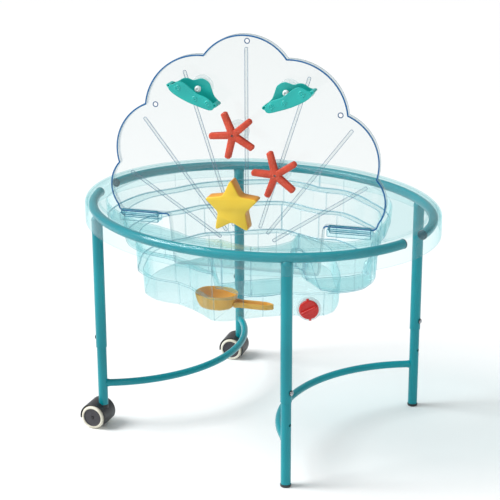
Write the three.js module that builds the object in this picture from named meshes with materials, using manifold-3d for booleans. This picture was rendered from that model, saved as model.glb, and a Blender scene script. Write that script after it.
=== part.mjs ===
// Sand and water table: a clear terraced tub on a tubular steel stand, with a clear
// activity panel standing in it and toys hung on the panel. Millimetres, +Z up.
// The origin is on the floor, at the centre of the square of legs. +X runs from the
// caster legs to the fixed legs, and +Y from the front legs to the back legs.
import * as THREE from "three";
import { mergeVertices } from "three/addons/utils/BufferGeometryUtils.js";
import Module from "manifold-3d";

const wasm = await Module();
wasm.setup();

// ---------------------------------------------------------------- driving dimensions
const GAP = 0.35; // air between pieces that touch

// stand
const LEG_X = 298.4;
const LEG_Y = 300.6;
const LEG_OUTER_R = 14.3;
const LEG_OUTER_BORE_R = 13.1;
const LEG_INNER_R = 12.7;
const LEG_INNER_BORE_R = 11.2;
const LEG_OUTER_BOTTOM = 225;
const LEG_INNER_TOP = 350;
const CASTER_LEG_BOTTOM = 62;
const FOOT_LEG_BOTTOM = 7;
const BOLT_Z = 250;
const SPARE_HOLE_Z = 165;
const BOLT_SHANK_R = 3;
const RING_Z = 588.6;
const RING_A = 464;
const RING_B = 390;
const RING_R = 12;
const STRETCHER_Z = 122;
const STRETCHER_R = 9.5;
const STRETCHER_SAG = 150;

// tub
const TUB_WALL = 3.5;
const SKIRT_OUT = 21.5;
const SKIRT_BOTTOM = 549;
const CROWN_TOP = 608.5;
const FLANGE_TOP = 603;
const LEDGE_A_Z = 560;
const LEDGE_B_Z = 508;
const POCKET_Z = 478;
const LEDGE_C_Z = 436;
const FLOOR_Z = 376;
const TUB_STEPS = 84;

// panel, stood on its own axes: u along it, w forward of its front edge, z up
const PANEL_ANGLE = 20.9;
const PANEL_X = 31.5;
const PANEL_Y = -107.8;
const PANEL_DEPTH = 20;
const PANEL_SHEET = 3;
const PANEL_RIM = 4;
const SHEET_W = -PANEL_DEPTH + PANEL_SHEET;

// toys
const STAR_R = 62;
const STARFISH_DEPTH = 20;

// casters
const WHEEL_R = 32;
const WHEEL_WIDTH = 21;
const WHEEL_IN = 14.5;
const CASTER_TRAIL = 18;

// Distance of the tub's opening from the origin, by angle in degrees from +X.
const OPENING = [
  [4, 357], [13, 345], [20, 338], [32, 337], [49, 336], [62, 333], [77, 345], [85, 350],
  [97, 336], [104, 355], [115, 374], [133, 374], [152, 378], [166, 372], [181, 395], [195, 402],
  [210, 404], [216, 396], [226, 374], [241, 350], [257, 323], [268, 323], [277, 338], [284, 337],
  [290, 331], [296, 352], [303, 373], [308, 371], [313, 361], [319, 336], [325.5, 282],
  [330, 352], [335, 386], [341, 399], [346, 398], [351, 388], [357, 368],
];
// Distance of the tub's lowest wall but one from the origin, by angle.
const BASIN = [
  [5, 322], [18, 300], [32, 292], [47, 300], [62, 288], [80, 290], [89, 264], [102, 272],
  [115, 303], [132, 290], [145, 284], [157, 306], [170, 300], [183, 322], [200, 326], [214, 318],
  [228, 322], [240, 302], [252, 264], [264, 262], [274, 282], [283, 300], [290, 288], [297, 264],
  [308, 246], [324, 243], [333, 269], [342, 288], [350, 312], [358, 326],
];
// Distance of the tub's floor wall from the origin, by angle.
const FLOOR = [
  [0, 246], [15, 217], [30, 200], [45, 198], [60, 211], [75, 231], [90, 244], [104, 254],
  [117, 270], [128, 254], [145, 258], [157, 281], [170, 284], [183, 296], [200, 302], [214, 300],
  [228, 307], [240, 291], [252, 255], [264, 253], [274, 267], [283, 291], [290, 280], [297, 257],
  [308, 239], [324, 237], [333, 262], [341, 279], [348, 274],
];
const POCKETS = [
  { from: 286, to: 321 },
  { from: 329, to: 358 },
];
const POCKET_FADE = 4;

// ---------------------------------------------------------------- materials
function plain(colour, roughness, metalness = 0) {
  return new THREE.MeshStandardMaterial({ color: colour, roughness, metalness });
}
function clear(colour, opacity) {
  const m = plain(colour, 0.1);
  m.transparent = true;
  m.opacity = opacity;
  return m;
}
const PAINT = "#0a9aa5";

// ---------------------------------------------------------------- solids
function solid(geometry) {
  const g = geometry.clone();
  g.deleteAttribute("normal");
  g.deleteAttribute("uv");
  const m = mergeVertices(g, 1e-4);
  return new wasm.Manifold(
    new wasm.Mesh({
      numProp: 3,
      vertProperties: new Float32Array(m.attributes.position.array),
      triVerts: new Uint32Array(m.index.array),
    }),
  );
}

function geometryOf(manifold) {
  const m = manifold.getMesh();
  const g = new THREE.BufferGeometry();
  g.setAttribute("position", new THREE.BufferAttribute(new Float32Array(m.vertProperties), 3));
  g.setIndex(new THREE.BufferAttribute(new Uint32Array(m.triVerts), 1));
  g.computeVertexNormals();
  return g;
}

const part = new THREE.Group();
part.name = "sand_and_water_table";

function add(name, body, material) {
  const geometry = body.isBufferGeometry ? body : geometryOf(body);
  const mesh = new THREE.Mesh(geometry, material);
  mesh.name = name;
  part.add(mesh);
  return mesh;
}

// A solid of revolution about +Z from [radius, z] points of a closed outline.
function turned(points, segments = 24) {
  const profile = points.map(([r, z]) => new THREE.Vector2(r, z));
  profile.push(profile[0].clone());
  const g = new THREE.LatheGeometry(profile, segments);
  g.rotateX(Math.PI / 2);
  return asOutward(g);
}

// Makes sure that a closed geometry's faces point outwards.
function asOutward(g) {
  const made = solid(g);
  if (made.volume() > 0) return made;
  const index = g.index ? g.index.array : null;
  const flipped = g.index ? g.clone() : mergeVertices(g.clone(), 1e-4);
  const a = index ? Uint32Array.from(index) : Uint32Array.from(flipped.index.array);
  for (let i = 0; i < a.length; i += 3) {
    const keep = a[i];
    a[i] = a[i + 1];
    a[i + 1] = keep;
  }
  flipped.setIndex(new THREE.BufferAttribute(a, 1));
  return solid(flipped);
}

function rod(radius, z0, z1, segments = 24) {
  const g = new THREE.CylinderGeometry(radius, radius, z1 - z0, segments);
  g.rotateX(Math.PI / 2);
  g.translate(0, 0, (z0 + z1) / 2);
  return solid(g);
}

function block(x0, x1, y0, y1, z0, z1) {
  const g = new THREE.BoxGeometry(x1 - x0, y1 - y0, z1 - z0);
  g.translate((x0 + x1) / 2, (y0 + y1) / 2, (z0 + z1) / 2);
  return solid(g);
}

// An upright prism over an outline of [x, y] points, with optional holes.
function prism(points, z0, z1, holes = []) {
  const shape = new THREE.Shape(points.map(([x, y]) => new THREE.Vector2(x, y)));
  for (const h of holes) shape.holes.push(new THREE.Path(h.map(([x, y]) => new THREE.Vector2(x, y))));
  const g = new THREE.ExtrudeGeometry(shape, { depth: z1 - z0, bevelEnabled: false });
  g.translate(0, 0, z0);
  return solid(g);
}

function circlePoints(x, y, r, n) {
  const out = [];
  for (let i = 0; i < n; i++) {
    const a = (2 * Math.PI * i) / n;
    out.push([x + r * Math.cos(a), y + r * Math.sin(a)]);
  }
  return out;
}

// A round bar of the given radius swept along a curve.
function bar(curve, radius, steps, sides = 14) {
  const shape = new THREE.Shape(circlePoints(0, 0, radius, sides).map(([x, y]) => new THREE.Vector2(x, y)));
  const g = new THREE.ExtrudeGeometry(shape, { steps, bevelEnabled: false, extrudePath: curve });
  return asOutward(g);
}

// A plane arc of an ellipse at height z, from one parameter angle to another.
class EllipseArc extends THREE.Curve {
  constructor(cx, cy, z, a, b, from, to) {
    super();
    Object.assign(this, { cx, cy, z, a, b, from, to });
  }
  getPoint(t, target = new THREE.Vector3()) {
    const k = THREE.MathUtils.degToRad(this.from + (this.to - this.from) * t);
    return target.set(this.cx + this.a * Math.cos(k), this.cy + this.b * Math.sin(k), this.z);
  }
}

function placed(manifold, x, y, z = 0, turn = 0) {
  const m = new THREE.Matrix4().makeRotationZ(THREE.MathUtils.degToRad(turn)).setPosition(x, y, z);
  return manifold.transform(m.elements);
}

// Turns a solid made about +Z so that its +Z points along a direction, at a point.
function aimed(manifold, direction, at) {
  const up = new THREE.Vector3(0, 0, 1);
  const q = new THREE.Quaternion().setFromUnitVectors(up, direction.clone().normalize());
  const m = new THREE.Matrix4().compose(at, q, new THREE.Vector3(1, 1, 1));
  return manifold.transform(m.elements);
}

// ---------------------------------------------------------------- ring under the rim
const RING_HALVES = [
  { name: "ring_tube_front", from: 201.2, to: 352.7, steps: 26 },
  { name: "ring_tube_back", from: 6.2, to: 186.3, steps: 30 },
];
for (const h of RING_HALVES) {
  const arc = new EllipseArc(0, 0, RING_Z, RING_A, RING_B, h.from, h.to);
  add(h.name, bar(arc, RING_R, h.steps, 12), plain(PAINT, 0.3));
  const ends = [
    { tag: "start", at: 0, sign: -1 },
    { tag: "end", at: 1, sign: 1 },
  ];
  for (const e of ends) {
    const p = arc.getPoint(e.at);
    const away = arc.getTangent(e.at).multiplyScalar(e.sign);
    const cap = turned([[0, GAP], [RING_R + 0.6, GAP], [RING_R + 0.6, 2.6], [RING_R - 2, 4.2], [0, 4.8]], 18);
    add(`${h.name}_cap_${e.tag}`, aimed(cap, away, p), plain("#1d3a44", 0.5));
  }
}
const ringCutter = bar(new EllipseArc(0, 0, RING_Z, RING_A, RING_B, 0, 359.99), RING_R + GAP + 0.25, 64, 12);

// ---------------------------------------------------------------- legs and bolts
const LEGS = [
  { tag: "front_left", sx: -1, sy: -1, caster: true, heading: -74 },
  { tag: "back_left", sx: -1, sy: 1, caster: true, heading: -70 },
  { tag: "front_right", sx: 1, sy: -1, caster: false },
  { tag: "back_right", sx: 1, sy: 1, caster: false },
];
for (const leg of LEGS) {
  const x = leg.sx * LEG_X;
  const y = leg.sy * LEG_Y;
  const side = new THREE.Vector3(leg.sx, 0, 0);
  const upper = turned(
    [
      [LEG_OUTER_BORE_R, LEG_OUTER_BOTTOM],
      [LEG_OUTER_R, LEG_OUTER_BOTTOM],
      [LEG_OUTER_R, RING_Z - 3],
      [LEG_OUTER_BORE_R, RING_Z - 3],
    ],
    20,
  );
  const boltHole = aimed(rod(BOLT_SHANK_R + GAP, 8, 22, 12), side, new THREE.Vector3(x, y, BOLT_Z));
  add(`leg_upper_${leg.tag}`, placed(upper, x, y).subtract(ringCutter).subtract(boltHole), plain(PAINT, 0.3));

  const bottom = leg.caster ? CASTER_LEG_BOTTOM : FOOT_LEG_BOTTOM;
  const lower = turned(
    [
      [LEG_INNER_BORE_R, bottom],
      [LEG_INNER_R, bottom],
      [LEG_INNER_R, LEG_INNER_TOP],
      [LEG_INNER_BORE_R, LEG_INNER_TOP],
    ],
    20,
  );
  const spare = aimed(rod(4, 8, 22, 12), side, new THREE.Vector3(x, y, SPARE_HOLE_Z));
  const used = aimed(rod(4, 8, 22, 12), side, new THREE.Vector3(x, y, BOLT_Z));
  add(`leg_lower_${leg.tag}`, placed(lower, x, y).subtract(spare).subtract(used), plain(PAINT, 0.3));

  const washerTop = LEG_OUTER_R + GAP + 1.4;
  const washer = turned(
    [
      [BOLT_SHANK_R + GAP, LEG_OUTER_R + GAP],
      [7.2, LEG_OUTER_R + GAP],
      [7.2, washerTop],
      [BOLT_SHANK_R + GAP, washerTop],
    ],
    14,
  );
  const bolt = turned(
    [
      [0, LEG_INNER_R + GAP],
      [BOLT_SHANK_R, LEG_INNER_R + GAP],
      [BOLT_SHANK_R, washerTop + GAP],
      [6, washerTop + GAP],
      [5.4, washerTop + 2.4],
      [2.4, washerTop + 3.9],
      [0, washerTop + 3.9],
    ],
    14,
  );
  const at = new THREE.Vector3(x, y, BOLT_Z);
  add(`bolt_washer_${leg.tag}`, aimed(washer, side, at), plain("#222427", 0.6));
  add(`bolt_${leg.tag}`, aimed(bolt, side, at), plain("#c9ccd0", 0.2, 1));
}

// ---------------------------------------------------------------- curved stretchers
for (const s of [{ tag: "left", sx: -1 }, { tag: "right", sx: 1 }]) {
  const radius = (LEG_Y * LEG_Y + STRETCHER_SAG * STRETCHER_SAG) / (2 * STRETCHER_SAG);
  const half = THREE.MathUtils.radToDeg(Math.asin(LEG_Y / radius));
  const centre = s.sx * (LEG_X - STRETCHER_SAG + radius);
  const mid = s.sx < 0 ? 0 : 180;
  const arc = new EllipseArc(centre, 0, STRETCHER_Z, radius, radius, mid - half, mid + half);
  let tube = bar(arc, STRETCHER_R, 18, 12);
  for (const sy of [-1, 1]) {
    tube = tube.subtract(placed(rod(LEG_INNER_R + GAP, 90, 160, 24), s.sx * LEG_X, sy * LEG_Y));
  }
  const pieces = tube.decompose().sort((p, q) => q.volume() - p.volume());
  add(`stretcher_${s.tag}`, pieces[0], plain(PAINT, 0.3));
}

// ---------------------------------------------------------------- foot caps
for (const leg of LEGS.filter((l) => !l.caster)) {
  const cap = turned(
    [
      [0, 0],
      [LEG_INNER_R + 0.6, 0],
      [LEG_INNER_R + 1, 1.5],
      [LEG_INNER_R + 1, FOOT_LEG_BOTTOM - GAP],
      [LEG_INNER_BORE_R - GAP, FOOT_LEG_BOTTOM - GAP],
      [LEG_INNER_BORE_R - GAP, 26],
      [0, 26],
    ],
    18,
  );
  add(`foot_cap_${leg.tag}`, placed(cap, leg.sx * LEG_X, leg.sy * LEG_Y), plain("#1c1e20", 0.7));
}

// ---------------------------------------------------------------- casters
for (const leg of LEGS.filter((l) => l.caster)) {
  const x = leg.sx * LEG_X;
  const y = leg.sy * LEG_Y;
  const tag = leg.tag;
  // socket pressed into the leg: the swivel pin turns in it
  const socket = turned(
    [
      [5.35, 50],
      [LEG_INNER_R + 0.4, 50],
      [LEG_INNER_R + 0.4, CASTER_LEG_BOTTOM - GAP],
      [LEG_INNER_BORE_R - GAP, CASTER_LEG_BOTTOM - GAP],
      [LEG_INNER_BORE_R - GAP, 98],
      [5.35, 98],
    ],
    16,
  );
  // local frame: rolling direction along +X, wheel axis along Y, swivel axis at the origin
  const heading = leg.heading + 90;
  const cx = -CASTER_TRAIL;
  const hoodOut = 36.5;
  const hoodIn = 33.6;
  const outline = [];
  const steps = 13;
  for (let i = 0; i <= steps; i++) {
    const a = THREE.MathUtils.degToRad(-28 + (218 * i) / steps);
    outline.push([cx + hoodOut * Math.cos(a), WHEEL_R + hoodOut * Math.sin(a)]);
  }
  for (let i = steps; i >= 0; i--) {
    const a = THREE.MathUtils.degToRad(-28 + (218 * i) / steps);
    outline.push([cx + hoodIn * Math.cos(a), WHEEL_R + hoodIn * Math.sin(a)]);
  }
  const standUp = new THREE.Matrix4().makeRotationX(Math.PI / 2);
  const hood = prism(outline, -32, 32).transform(standUp.elements);
  const web = [];
  for (let i = 0; i <= steps; i++) {
    const a = THREE.MathUtils.degToRad(-28 + (218 * i) / steps);
    web.push([cx + 35 * Math.cos(a), WHEEL_R + 35 * Math.sin(a)]);
  }
  web.push([cx - 8, WHEEL_R - 14]);
  web.push([cx + 10, WHEEL_R - 16]);
  const plate = prism(web, -12, 12).transform(standUp.elements);
  const collar = rod(13.5, 40, 49.5, 20);
  const well = rod(14.2, 49.6, 100, 20);
  const pin = rod(5, 45, 92, 16);
  const axle = placed(rod(4, -36, 36, 16).transform(standUp.elements), cx, 0, WHEEL_R);
  const housing = hood.add(plate).add(collar).subtract(well).add(pin).add(axle);
  add(`caster_housing_${tag}`, placed(housing, x, y, 0, heading), plain("#26282b", 0.5));
  add(`caster_socket_${tag}`, placed(socket, x, y), plain("#1c1e20", 0.6));
  for (const w of [{ side: "near", sy: -1 }, { side: "far", sy: 1 }]) {
    const toSide = new THREE.Matrix4().makeRotationX((-w.sy * Math.PI) / 2).setPosition(cx, 0, WHEEL_R);
    const out = WHEEL_IN + WHEEL_WIDTH;
    const tread = turned(
      [
        [24.5 + GAP, WHEEL_IN],
        [WHEEL_R - 1.5, WHEEL_IN],
        [WHEEL_R, WHEEL_IN + 4],
        [WHEEL_R, out - 5],
        [WHEEL_R - 3, out],
        [24.5 + GAP, out],
      ],
      20,
    ).transform(toSide.elements);
    const hub = turned(
      [
        [4 + GAP, WHEEL_IN - 2],
        [9, WHEEL_IN - 2],
        [9, WHEEL_IN + 1],
        [24.5, WHEEL_IN + 1],
        [24.5, out - 1],
        [4 + GAP, out - 2],
      ],
      20,
    ).transform(toSide.elements);
    add(`caster_tread_${w.side}_${tag}`, placed(tread, x, y, 0, heading), plain("#dedccf", 0.6));
    add(`caster_hub_${w.side}_${tag}`, placed(hub, x, y, 0, heading), plain("#303236", 0.5));
  }
}

// ---------------------------------------------------------------- tub
// Smooth closed interpolation through [degrees, radius] pairs.
function radiusAt(table, deg) {
  const n = table.length;
  const d = ((deg % 360) + 360) % 360;
  let i = table.findIndex(([a]) => a > d);
  if (i < 0) i = n;
  const knot = (k) => {
    const turns = Math.floor(k / n);
    const [a, r] = table[((k % n) + n) % n];
    return [a + 360 * turns, r];
  };
  const [x0, y0] = knot(i - 2);
  const [x1, y1] = knot(i - 1);
  const [x2, y2] = knot(i);
  const [x3, y3] = knot(i + 1);
  const h = x2 - x1;
  const t = (d - x1) / h;
  const m1 = (y2 - y0) / (x2 - x0);
  const m2 = (y3 - y1) / (x3 - x1);
  const t2 = t * t;
  const t3 = t2 * t;
  return (
    (2 * t3 - 3 * t2 + 1) * y1 + (t3 - 2 * t2 + t) * h * m1 + (-2 * t3 + 3 * t2) * y2 + (t3 - t2) * h * m2
  );
}

function pocketShare(deg) {
  let share = 0;
  for (const p of POCKETS) {
    const inside = Math.min(deg - p.from, p.to - deg);
    share = Math.max(share, THREE.MathUtils.smoothstep(inside, -POCKET_FADE / 2, POCKET_FADE / 2));
  }
  return share;
}

// Point beside the ring's centre line, a distance outwards from it.
function besideRing(deg, out) {
  const a = THREE.MathUtils.degToRad(deg);
  const r = 1 / Math.hypot(Math.cos(a) / RING_A, Math.sin(a) / RING_B);
  const x = r * Math.cos(a);
  const y = r * Math.sin(a);
  const n = new THREE.Vector2(x / (RING_A * RING_A), y / (RING_B * RING_B)).normalize();
  return [x + n.x * out, y + n.y * out];
}

function atRadius(deg, r) {
  const a = THREE.MathUtils.degToRad(deg);
  return [r * Math.cos(a), r * Math.sin(a)];
}

// Radii of the four walls at one angle, and the heights of the two upper ledges.
function tubSection(deg) {
  const share = pocketShare(deg);
  const opening = radiusAt(OPENING, deg);
  const basin = radiusAt(BASIN, deg);
  const room = opening - 6 - basin;
  const middle = basin + 4 + Math.max(room * 0.42, 4) * (1 - 0.5 * share);
  return {
    a: opening,
    b: Math.min(middle, opening - 5),
    c: basin,
    d: Math.min(basin - 5.5, radiusAt(FLOOR, deg)),
    zA: THREE.MathUtils.lerp(LEDGE_A_Z, POCKET_Z, share),
    zB: THREE.MathUtils.lerp(LEDGE_B_Z, POCKET_Z, share),
  };
}

const t = TUB_WALL;
const STATIONS = [
  (g) => [...besideRing(g, SKIRT_OUT), SKIRT_BOTTOM],
  (g) => [...besideRing(g, SKIRT_OUT), CROWN_TOP - 8],
  (g) => [...besideRing(g, SKIRT_OUT - 6), CROWN_TOP - 1.5],
  (g) => [...besideRing(g, 3), CROWN_TOP],
  (g) => [...besideRing(g, -11), CROWN_TOP - 1],
  (g) => [...besideRing(g, -17), FLANGE_TOP],
  (g, s) => [...atRadius(g, s.a), FLANGE_TOP],
  (g, s) => [...atRadius(g, s.a - 2.5), s.zA],
  (g, s) => [...atRadius(g, s.b), s.zA],
  (g, s) => [...atRadius(g, s.b - 1.5), s.zB],
  (g, s) => [...atRadius(g, s.c), s.zB],
  (g, s) => [...atRadius(g, s.c - 2), LEDGE_C_Z],
  (g, s) => [...atRadius(g, s.d), LEDGE_C_Z],
  (g, s) => [...atRadius(g, s.d - 4), FLOOR_Z],
];
const UNDERSIDE = [
  (g, s) => [...atRadius(g, s.d - 4 + t), FLOOR_Z - t],
  (g, s) => [...atRadius(g, s.d + t), LEDGE_C_Z - t],
  (g, s) => [...atRadius(g, s.c - 2 + t), LEDGE_C_Z - t],
  (g, s) => [...atRadius(g, s.c + t), s.zB - t],
  (g, s) => [...atRadius(g, s.b - 1.5 + t), s.zB - t],
  (g, s) => [...atRadius(g, s.b + t), s.zA - t],
  (g, s) => [...atRadius(g, s.a - 2.5 + t), s.zA - t],
  (g, s) => [...atRadius(g, s.a + t), FLANGE_TOP - t],
  (g) => [...besideRing(g, -15), FLANGE_TOP - t],
  (g) => [...besideRing(g, -10), CROWN_TOP - 4.5],
  (g) => [...besideRing(g, 3), CROWN_TOP - t],
  (g) => [...besideRing(g, SKIRT_OUT - 8.5), CROWN_TOP - 4.5],
  (g) => [...besideRing(g, SKIRT_OUT - t), CROWN_TOP - 10],
  (g) => [...besideRing(g, SKIRT_OUT - t), SKIRT_BOTTOM],
];

function tubGeometry() {
  const positions = [];
  const triangles = [];
  const loops = [...STATIONS, ...UNDERSIDE];
  for (const station of loops) {
    for (let j = 0; j < TUB_STEPS; j++) {
      const deg = (360 * j) / TUB_STEPS;
      positions.push(...station(deg, tubSection(deg)));
    }
  }
  const topCentre = positions.length / 3;
  positions.push(0, 0, FLOOR_Z);
  positions.push(0, 0, FLOOR_Z - t);
  const last = STATIONS.length - 1;
  for (let i = 0; i < loops.length; i++) {
    const next = (i + 1) % loops.length;
    for (let j = 0; j < TUB_STEPS; j++) {
      const k = (j + 1) % TUB_STEPS;
      const a = i * TUB_STEPS + j;
      const b = i * TUB_STEPS + k;
      const c = next * TUB_STEPS + k;
      const d = next * TUB_STEPS + j;
      if (i === last) {
        triangles.push(a, b, topCentre);
        triangles.push(topCentre + 1, c, d);
      } else {
        triangles.push(a, b, c, a, c, d);
      }
    }
  }
  const g = new THREE.BufferGeometry();
  g.setAttribute("position", new THREE.Float32BufferAttribute(positions, 3));
  g.setIndex(triangles);
  return g;
}

// drain: a fitting through the lowest wall at the front right, with a knob on it
const DRAIN_ANGLE = 333.5;
const DRAIN_Z = 396;
const wallAt = (deg) => new THREE.Vector3(...atRadius(deg, tubSection(deg).d - 2 + t), DRAIN_Z);
const drainAt = wallAt(DRAIN_ANGLE);
const along = wallAt(DRAIN_ANGLE + 4).sub(wallAt(DRAIN_ANGLE - 4));
const drainOut = new THREE.Vector3(along.y, -along.x, 0).normalize();
const drainHole = aimed(rod(13, -14, 12, 24), drainOut, drainAt);
add("tub", solid(tubGeometry()).subtract(drainHole), clear("#bfe6ee", 0.35));

const drainRing = turned(
  [
    [9, -9],
    [12.6, -9],
    [12.6, 3.2],
    [31, 3.2],
    [31, 6],
    [28, 7.5],
    [14, 7.5],
    [14, 12],
    [9, 12],
  ],
  22,
);
add("drain_ring", aimed(drainRing, drainOut, drainAt), clear("#e8f4f6", 0.5));
const knobTop = 17;
const knob = turned(
  [
    [0, 2],
    [8.6, 2],
    [8.6, 12.5],
    [14.5, 12.5],
    [14.5, 8.2],
    [24.5, 8.2],
    [25, 10],
    [23.5, knobTop - 1],
    [20, knobTop],
    [0, knobTop + 1.5],
  ],
  22,
);
const knobBar = block(-21, 21, -4, 4, knobTop - 2, knobTop + 8);
const nubs = block(-3, 3, -29, 29, 9, 13);
const knobTurn = new THREE.Matrix4().makeRotationZ(THREE.MathUtils.degToRad(-38));
const knobWhole = knob.add(knobBar.transform(knobTurn.elements)).add(nubs.subtract(rod(20, 5, 15, 20)));
add("drain_knob", aimed(knobWhole, drainOut, drainAt), plain("#cf2a22", 0.35));

// ---------------------------------------------------------------- activity panel
const panelTurn = THREE.MathUtils.degToRad(PANEL_ANGLE);
const panelU = new THREE.Vector3(Math.cos(panelTurn), Math.sin(panelTurn), 0);
const panelW = new THREE.Vector3(Math.sin(panelTurn), -Math.cos(panelTurn), 0);
// Takes a solid drawn with x along the panel, y up and z forward to its place.
const PANEL_FRAME = new THREE.Matrix4()
  .makeBasis(panelU, new THREE.Vector3(0, 0, 1), panelW)
  .setPosition(PANEL_X, PANEL_Y, 0);
function onPanel(manifold) {
  return manifold.transform(PANEL_FRAME.elements);
}

// Right half of the cloud outline: [u, z] of each corner and the bulge of the lobe to it.
const CLOUD = [
  { u: 107, z: 1002, bulge: 0 },
  { u: 262, z: 871, bulge: 40 },
  { u: 337, z: 714, bulge: 33 },
  { u: 343, z: 601, bulge: 20 },
];
const TOP_BULGE = 55;
const SHOULDER_U = 204;
const SHOULDER_Z = 583;
const TONGUE_U = 190;
const TONGUE_Z = 452;

// Points of the arc from p to q that bulges to the left of the way p to q, without q.
function lobe(p, q, bulge, n) {
  const dx = q[0] - p[0];
  const dy = q[1] - p[1];
  const chord = Math.hypot(dx, dy);
  const radius = (chord * chord) / (8 * bulge) + bulge / 2;
  const half = Math.asin(chord / (2 * radius));
  const out = [];
  for (let i = 0; i < n; i++) {
    const a = half - (2 * half * i) / n;
    const s = Math.sin(a) * radius;
    const lift = Math.cos(a) * radius - (radius - bulge);
    const m = 0.5 - s / chord;
    out.push([p[0] + dx * m - (dy / chord) * lift, p[1] + dy * m + (dx / chord) * lift]);
  }
  return out;
}

function panelOutline() {
  const right = [];
  for (let i = 0; i + 1 < CLOUD.length; i++) {
    const p = CLOUD[i];
    const q = CLOUD[i + 1];
    right.push(...lobe([p.u, p.z], [q.u, q.z], q.bulge, 7));
  }
  right.push([343, 601], [341, 592], [334, SHOULDER_Z]);
  right.push([SHOULDER_U + 6, SHOULDER_Z], [SHOULDER_U, SHOULDER_Z - 6]);
  right.push([TONGUE_U + 4, TONGUE_Z + 8], [TONGUE_U - 6, TONGUE_Z]);
  const top = lobe([-107, 1002], [107, 1002], TOP_BULGE, 10).slice(1);
  const left = right.map(([u, z]) => [-u, z]).reverse();
  // counter-clockwise seen from the front: down the left side, along the bottom, up the right
  return [...right, ...left, ...top].reverse();
}

// The same outline drawn in by a distance, by moving each corner along its bisector.
function drawnIn(points, by) {
  const n = points.length;
  return points.map((p, i) => {
    const a = points[(i + n - 1) % n];
    const b = points[(i + 1) % n];
    const e1 = new THREE.Vector2(p[0] - a[0], p[1] - a[1]).normalize();
    const e2 = new THREE.Vector2(b[0] - p[0], b[1] - p[1]).normalize();
    const n1 = new THREE.Vector2(-e1.y, e1.x);
    const n2 = new THREE.Vector2(-e2.y, e2.x);
    const m = n1.clone().add(n2);
    const k = by / Math.max(0.35, 1 + n1.dot(n2));
    return [p[0] + m.x * k, p[1] + m.y * k];
  });
}

const RIBS = [
  { u0: 0, z0: 560, u1: 0, z1: 1024 },
  { u0: 34, z0: 562, u1: 161, z1: 958 },
  { u0: 53, z0: 548, u1: 270, z1: 832 },
  { u0: 68, z0: 530, u1: 309, z1: 689 },
];
const RIB_WIDTH = 9;
const PANEL_HOLES = [
  [2, 1039],
  [-239, 867],
  [239, 867],
];

const outline = panelOutline();
const inner = drawnIn(outline, PANEL_RIM);
let panel = prism(outline, -PANEL_DEPTH, SHEET_W);
panel = panel.add(prism(outline, SHEET_W - 0.5, 0, [inner]));
for (const rib of RIBS) {
  for (const side of rib.u1 === 0 ? [1] : [1, -1]) {
    const length = Math.hypot(rib.u1 - rib.u0, rib.z1 - rib.z0);
    const angle = Math.atan2(rib.z1 - rib.z0, side * (rib.u1 - rib.u0));
    const strip = block(0, length, -RIB_WIDTH / 2, RIB_WIDTH / 2, SHEET_W - 0.5, SHEET_W + 2.5);
    const m = new THREE.Matrix4().makeRotationZ(angle).setPosition(side * rib.u0, rib.z0, 0);
    panel = panel.add(strip.transform(m.elements));
  }
}
for (const [u, z] of PANEL_HOLES) {
  panel = panel.subtract(rod(5, -30, 10, 14).translate([u, z, 0]));
}

// Pegs: each has a suction cup on the sheet and a pin that carries a toy.
const CUP_PIN = 36; // pin lengths, from the back of the suction cup
const CUP_SETBACK = 10.5; // how far behind the end of its pin a cloud cup's back hangs
const STARFISH_PIN = 58;
const STAR_CUP_PIN = 22;
const PEGS = [
  { tag: "cloud_left", u: -112, z: 922, pin: CUP_PIN },
  { tag: "cloud_right", u: 112, z: 924, pin: CUP_PIN },
  { tag: "starfish_upper", u: -19, z: 814, pin: STARFISH_PIN },
  { tag: "starfish_lower", u: 90, z: 720, pin: STARFISH_PIN },
  { tag: "star_cup", u: -27, z: 624, pin: STAR_CUP_PIN },
];
const PIN_R = 4;
const PIN_TIP = 1.5; // bevelled end of a pin
const PEG_FACE = SHEET_W + 3.2; // back plane of the suction cups
for (const peg of PEGS) {
  const cup = turned(
    [
      [0, 1.2],
      [20, 0],
      [28, 0],
      [28, 1.4],
      [18, 5],
      [9, 8],
      [PIN_R, 12],
      [PIN_R, peg.pin],
      [PIN_R - PIN_TIP, peg.pin + PIN_TIP],
      [0, peg.pin + PIN_TIP],
    ],
    16,
  );
  const seat = cup.translate([peg.u, peg.z, PEG_FACE]);
  add(`peg_${peg.tag}`, onPanel(seat), clear("#e6f3f5", 0.5));
  // the sheet is flat under the cup: ribs stop short of it
  const clearOf = rod(29, SHEET_W + 0.01, SHEET_W + 14, 22).translate([peg.u, peg.z, 0]);
  panel = panel.subtract(clearOf);
}
add("panel", onPanel(panel), clear("#d8eef4", 0.3));

// brackets on the upper ledge that the panel's shoulders stand on, with their screws
for (const s of [{ tag: "left", u0: -336, u1: -230 }, { tag: "right", u0: 213, u1: 326 }]) {
  const base = block(s.u0, s.u1, LEDGE_A_Z + GAP + 1, SHOULDER_Z - GAP, -24, 8);
  const lip = block(s.u0 + 4, s.u1, SHOULDER_Z - 8, SHOULDER_Z + 9, 1 + GAP, 8);
  const screwU = (s.u0 + s.u1) / 2 + (s.u0 < 0 ? -14 : 14);
  const hole = rod(3.6, -2, 12, 12).translate([screwU, SHOULDER_Z + 1, 0]);
  add(`panel_bracket_${s.tag}`, onPanel(base.add(lip).subtract(hole)), clear("#cfeaf1", 0.4));
  const shank = 1 + GAP;
  const seat = 8 + GAP;
  const screw = turned([[0, shank], [3.2, shank], [3.2, seat], [8, seat], [8, 12], [6.5, 14], [0, 14]], 18);
  const driven = screw.translate([screwU, SHOULDER_Z + 1, 0]);
  add(`bracket_screw_${s.tag}`, onPanel(driven), clear("#cfeaf1", 0.5));
}

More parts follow.
